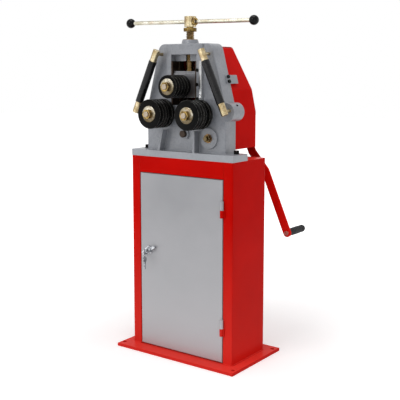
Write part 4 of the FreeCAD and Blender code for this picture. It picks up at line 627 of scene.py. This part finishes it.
def finish_piece(mesh, name, body, finish, replaced=(), smooth=35):
    """Writes a bmesh into an object that rides on a body, and shades it smooth below an angle in degrees."""
    bmesh.ops.remove_doubles(mesh, verts=mesh.verts, dist=SAME_POINT)
    bmesh.ops.recalc_face_normals(mesh, faces=mesh.faces)
    data = bpy.data.meshes.new(name)
    mesh.to_mesh(data)
    mesh.free()
    data.shade_smooth()
    data.set_sharp_from_angle(angle=math.radians(smooth))
    data.materials.append(finish)
    piece = bpy.data.objects.new(name, data)
    bpy.context.scene.collection.objects.link(piece)
    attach(piece, body)
    if replaced:
        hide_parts(*replaced)
    print(name, len(data.polygons), "faces")


def move(mesh, centre, turn):
    """Turns a mesh that was made round the Z axis, and then moves it to its centre."""
    bmesh.ops.transform(mesh, matrix=Matrix.Translation(centre) @ turn, verts=mesh.verts)


def round_off(mesh, parts, offset, segments, affect="EDGES"):
    """Bevels edges, or corners where affect says VERTICES, by an offset in metres."""
    bmesh.ops.bevel(mesh, geom=parts, offset=offset, offset_type="OFFSET", affect=affect, segments=segments,
                    profile=0.5, material=-1)


def profile(mesh, corners):
    """A chain of edges through corners, given in millimetres as radius and height."""
    made = [mesh.verts.new((r * MM, 0, z * MM)) for r, z in corners]
    return made + [mesh.edges.new(pair) for pair in zip(made, made[1:])]


def spin_round(mesh, chain, steps):
    """Turns chains of edges once round the Z axis, and joins the seam and the poles."""
    bmesh.ops.spin(mesh, geom=chain, cent=(0, 0, 0), axis=(0, 0, 1), angle=2 * math.pi, steps=steps,
                   use_merge=True)
    bmesh.ops.remove_doubles(mesh, verts=mesh.verts, dist=SAME_POINT)


def lathe(corners, steps=64):
    """Turns one chain of corners into a closed skin."""
    mesh = bmesh.new()
    spin_round(mesh, profile(mesh, corners), steps)
    return mesh


print("a piece made along Z is tipped to point along", [round(c) for c in TO_FRONT @ Vector((0, 0, 1))])

# %% [markdown]
# ## Pressing screw
# The real screw has a coarse trapezoidal thread of 30 mm by 6 mm, dark with oil between its flanks, and it
# shows above the head and in the slot. One pitch of the thread's outline is turned about the axis while it
# climbs by a pitch each turn, so the outlines of neighbouring turns meet. A displaced texture could fake it,
# but its outline against the white would stay straight.

# %% Pressing screw
def threaded_spindle(foot, collar, top):
    """Heights in millimetres: a core whose head turns in the carriage, and a thread from collar to top."""
    radius, neck, pitch, depth, steps = 15, 10, 6, 2.4, 24
    root = radius - depth
    core, guide, head = root - 0.3, radius - 0.2, foot + 14
    mesh = lathe([(0, foot), (radius, foot), (radius, head), (neck, head), (neck, collar), (guide, collar),
                  (guide, collar + pitch), (core, collar + pitch), (core, top - 2), (root - 2, top), (0, top)],
                 steps)
    flank, crest, fall = 0.26 * pitch, 0.4 * pitch, 0.86 * pitch
    outline = [(root, 0), (root, flank), (radius, crest), (radius, fall), (root, pitch)]
    turns = int((top - collar) / pitch) - 1
    chain = profile(mesh, [(r, z + collar) for r, z in outline])
    made = bmesh.ops.spin(mesh, geom=chain, cent=(0, 0, 0), axis=(0, 0, 1), angle=2 * math.pi * turns,
                          steps=steps * turns, dvec=(0, 0, pitch / steps * MM))
    for end in (chain, made["geom_last"]):
        bmesh.ops.contextual_create(mesh, geom=[g for g in end if isinstance(g, bmesh.types.BMEdge)])
    return mesh


low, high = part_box("spindle")
retainer_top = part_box("spindle_retainer")[1].z
mesh = threaded_spindle(low.z / MM, retainer_top / MM + 0.3, high.z / MM)
screw_axis = Vector(((low.x + high.x) / 2, (low.y + high.y) / 2, 0))
bmesh.ops.translate(mesh, verts=mesh.verts, vec=screw_axis)
finish_piece(mesh, "threaded_spindle", "pressure_screw", oiled_zinc, ["spindle"])

# %% [markdown]
# ## Roller rings
# Each roller is a stack of five hardened rings. In the driven ones three rings have a groove that holds wire,
# one is smaller and one is plain, and every rim is broken by a small chamfer. All five outlines are turned at
# once; bevels then round the grooves' floors and break the rims. In CAD each groove is only four flats.

# %% Roller rings
def at_radius(edge, radius):
    """True for an edge that runs round the Z axis at a radius in millimetres."""
    return all(abs(vert.co.xy.length - radius * MM) < 2 * SAME_POINT for vert in edge.verts)


def edges_at(mesh, radius, sharpest):
    """The edges round the Z axis at a radius whose faces turn by more than an angle in radians."""
    return [e for e in mesh.edges if at_radius(e, radius) and e.calc_face_angle(0) > sharpest]


def ring_stack(name, rims, grooved):
    """Five rings between 98 and 184 mm in front of the machine's middle, round the node's own axis."""
    start, end, gap, bore, groove = 98, 184, 0.3, 15.02, 5
    width = (end - start - 4 * gap) / 5
    mesh = bmesh.new()
    chains = []
    for index, rim in enumerate(rims):
        back = start + index * (width + gap)
        front, middle = back + width, back + width / 2
        dip = [(rim, middle - groove), (rim - groove, middle), (rim, middle + groove)]
        tread = [(rim, back)] + (dip if index in grooved else []) + [(rim, front)]
        chains += profile(mesh, [(bore, back)] + tread + [(bore, front), (bore, back)])
    spin_round(mesh, chains, steps=96)
    round_off(mesh, edges_at(mesh, rims[0] - groove, sharpest=0.5), offset=3 * MM, segments=4)
    corners = [e for rim in set(rims) for e in edges_at(mesh, rim, sharpest=1)]
    round_off(mesh, corners, offset=1.2 * MM, segments=2)
    low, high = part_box(name + "_rings")
    move(mesh, ((low.x + high.x) / 2, 0, (low.z + high.z) / 2), TO_FRONT)
    finish_piece(mesh, name + "_roller_rings", name + "_roller", rollers_black,
                 [name + "_rings"])


driven, grooved = [54, 48, 54, 54, 54], {0, 2, 3}
ring_stack("left", driven, grooved)
ring_stack("right", driven, grooved)
ring_stack("top", [42] * 5, set())

# %% [markdown]
# ## Nuts
# A real nut is a slice of hexagon bar whose corners are turned off, so that a spanner slips on and nothing
# cuts the hand. A six-sided cone makes the bar, and beveling its outer corners takes them off.

# %% Nuts
def chamfered_nut(node, body, facing, finish):
    """Replaces a plain CAD nut: as thick and wide across its flats, along the axis that it faces."""
    low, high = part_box(node)
    size = high - low
    thick = size[facing]
    across = min(size[i] for i in range(3) if i != facing)
    corner = across / math.sqrt(3)
    mesh = bmesh.new()
    bmesh.ops.create_cone(mesh, cap_ends=True, segments=6, radius1=corner, radius2=corner, depth=thick)
    round_off(mesh, mesh.verts[:], offset=0.07 * across, segments=1, affect="VERTICES")
    turn = Matrix.Rotation(math.radians(30 if size.z < size.x else 0), 4, "Z")
    move(mesh, (low + high) / 2, TO_FRONT @ turn if facing == 1 else turn)
    finish_piece(mesh, node + "_chamfered", body, finish, [node], smooth=20)


for name in ("left", "right", "top"):
    chamfered_nut(name + "_nut", name + "_roller", 1, nut_zinc)
chamfered_nut("crank_nut", "crank", 1, oiled_zinc)
chamfered_nut("jam_nut", "pressure_screw", 2, nut_zinc)

# %% [markdown]
# ## Washers
# The rollers' washers are turned from bar, with rounded rims and a face that falls a little from the nut to
# the rim. So the upper half of each looks up into the light and the lower half down, where a flat disc would
# show one flat tone.

# %% Washers
def dished_washer(name):
    """Turns a washer over the CAD one: a rim rounded by 1.6 mm and a face that falls by 1 mm to the rim."""
    low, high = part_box(name + "_washer")
    radius, thick = (high.x - low.x) / 2 / MM, (high.y - low.y) / MM
    bore, seat, rounding, fall = 12, 20, 1.6, 1
    arc = [math.radians(angle) for angle in (0, 30, 60, 90)]
    rim = [(radius - rounding + rounding * math.cos(a), thick - fall - rounding + rounding * math.sin(a))
           for a in arc]
    mesh = lathe([(bore, 0), (radius, 0)] + rim + [(seat, thick), (bore, thick), (bore, 0)])
    move(mesh, ((low.x + high.x) / 2, high.y, (low.z + high.z) / 2), TO_FRONT)
    finish_piece(mesh, name + "_dished_washer", name + "_roller", washer_zinc,
                 [name + "_washer"])


for name in ("left", "right", "top"):
    dished_washer(name)

# %% [markdown]
# ## Crank grip
# The grip is moulded with shallow rings for the fingers and swells a little in the palm. Its outline is
# turned on a lathe in the same way as the real mould's cavity. It is a cap over the bolt that it turns on, so
# its outline starts inside, at the end of the bolt's hole.

# %% Crank grip
low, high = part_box("grip")
length, radius = (high.y - low.y) / MM, (high.x - low.x) / 2 / MM
bolt, hole_end = 5.05, length - 20
outline = [(0, hole_end), (bolt, hole_end), (bolt, 0), (radius - 1.5, 0), (radius, 1.5), (radius, 6),
           (radius - 1.4, 9)]
rings, first, spacing = 8, 14, 11
for ring in range(rings):
    z = first + spacing * ring
    swell = 0.9 * math.sin(math.pi * ring / (rings - 1))
    groove, crest = radius - 1.9 + swell, radius - 0.9 + swell
    outline += [(groove, z), (crest, z + 2.5), (crest, z + 7), (groove, z + 9.5)]
outline += [(radius - 0.4, length - 12), (radius - 0.6, length - 7), (radius - 2, length - 2.5),
            (radius - 5, length - 0.4), (0, length)]
mesh = lathe(outline, steps=40)
move(mesh, ((low.x + high.x) / 2, low.y, (low.z + high.z) / 2), TO_BACK)
finish_piece(mesh, "moulded_grip", "crank_grip", grip_black, ["grip"], smooth=50)

# %% [markdown]
# ## Keeper strip
# A bare ground strip is screwed to the casting beside the adjustable slide strip and keeps it in place. Its
# pale steel stands where the casting's rounded edge catches the light, so it paints that highlight as the
# brightest line on the head. A rectangle gets its corners rounded, is extruded and beveled, and three low
# screw heads sit in it.

# %% Keeper strip
low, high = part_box("slide_block")
left, right, foot, top = 0.0708, 0.0823, low.z - 0.002, high.z + 0.045
casting_face, thick = -0.087, 2.6 * MM
mesh = bmesh.new()
corners = [(left, foot), (right, foot), (right, top), (left, top)]
mesh.faces.new([mesh.verts.new((x, casting_face, z)) for x, z in corners])
round_off(mesh, mesh.verts[:], offset=2 * MM, segments=3, affect="VERTICES")
grown = bmesh.ops.extrude_face_region(mesh, geom=mesh.faces[:])["geom"]
bmesh.ops.translate(mesh, verts=[g for g in grown if isinstance(g, bmesh.types.BMVert)], vec=(0, -thick, 0))
front = max((g for g in grown if isinstance(g, bmesh.types.BMFace)), key=lambda f: f.calc_area())
round_off(mesh, list(front.edges), offset=0.7 * MM, segments=2)
for level in (0.1, 0.5, 0.9):
    seat = ((left + right) / 2, casting_face - thick, foot + level * (top - foot))
    bmesh.ops.create_cone(mesh, cap_ends=True, segments=20, radius1=3.6 * MM, radius2=2.6 * MM, depth=2 * MM,
                          matrix=Matrix.Translation(seat) @ TO_FRONT)
# The strip's pale steel paints the highlight of the casting's rounded edge here.
finish_piece(mesh, "keeper_strip_painted_highlight", "stand", keeper_highlight_steel)

# %% [markdown]
# ## Stop collar on the T-bar
# The T-bar slides through the hub until a collar with a screw in it meets the hub's side. The collar is
# turned, and its screw is a short cylinder whose socket is sunk by an inset and a move.

# %% Stop collar
low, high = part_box("t_bar")
span = high - low
along = Vector((span.x, -span.y, 0)).normalized()
bar, rim, wide, chamfer = span.z / 2 / MM, 14, 8, 1
mesh = lathe([(bar, 0), (rim - chamfer, 0), (rim, chamfer), (rim, wide - chamfer), (rim - chamfer, wide),
              (bar, wide), (bar, 0)], steps=40)
in_rim = Matrix.Translation(((rim + 0.6) * MM, 0, wide / 2 * MM)) @ Matrix.Rotation(math.pi / 2, 4, "Y")
screw = bmesh.ops.create_cone(mesh, cap_ends=True, segments=16, radius1=3.5 * MM, radius2=3.5 * MM,
                              depth=3 * MM, matrix=in_rim)
head = max({f for v in screw["verts"] for f in v.link_faces}, key=lambda face: face.calc_center_median().x)
bmesh.ops.inset_region(mesh, faces=[head], thickness=1.6 * MM)
bmesh.ops.translate(mesh, verts=head.verts[:], vec=(-2 * MM, 0, 0))
hub_low, hub_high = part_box("screw_hub")
beside_hub = (hub_high.x - hub_low.x) / 2 + 0.5 * MM
move(mesh, (low + high) / 2 + along * beside_hub, along.to_track_quat("Z", "Y").to_matrix().to_4x4())
finish_piece(mesh, "bar_stop_collar", "pressure_screw", nut_zinc)

# %% [markdown]
# ## Weld bead round the cabinet's foot
# The cabinet is welded to its base plate. A hand-laid bead looks like a row of overlapping coins, so a small
# circle is extruded in steps along each side, and every other step is a little smaller.

# %% Weld bead
def weld_bead(mesh, start, end):
    """One straight bead between two points, in millimetres, from a circle extruded in steps of 5 mm."""
    radius, coin, pinch = 3.4, 5, 0.72
    start, end = Vector(start) * MM, Vector(end) * MM
    along = end - start
    steps = max(2, round(along.length / (coin * MM)))
    turn = along.to_track_quat("Z", "Y").to_matrix().to_4x4()
    made = bmesh.ops.create_circle(mesh, cap_ends=True, segments=8, radius=radius * MM,
                                   matrix=Matrix.Translation(start) @ turn)
    edges = list({e for v in made["verts"] for e in v.link_edges})
    for step in range(steps):
        grown = bmesh.ops.extrude_edge_only(mesh, edges=edges)["geom"]
        verts = [g for g in grown if isinstance(g, bmesh.types.BMVert)]
        edges = [g for g in grown if isinstance(g, bmesh.types.BMEdge)]
        bmesh.ops.translate(mesh, verts=verts, vec=along / steps)
        size = pinch if step % 2 == 0 else 1 / pinch
        middle = sum((v.co for v in verts), Vector()) / len(verts)
        bmesh.ops.scale(mesh, vec=(size, size, size), space=Matrix.Translation(-middle), verts=verts)
    bmesh.ops.contextual_create(mesh, geom=edges)


low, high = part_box("cabinet_body")
half, front, back, level = high.x / MM, low.y / MM, high.y / MM, low.z / MM
post, gap = 39, 4
mesh = bmesh.new()
for side in (-1, 1):
    weld_bead(mesh, (side * (half - post), front, level), (side * (half - gap), front, level))
    weld_bead(mesh, (side * half, front + gap, level), (side * half, back - gap, level))
weld_bead(mesh, (gap - half, back, level), (half - gap, back, level))
finish_piece(mesh, "foot_weld_bead", "stand", red, smooth=60)
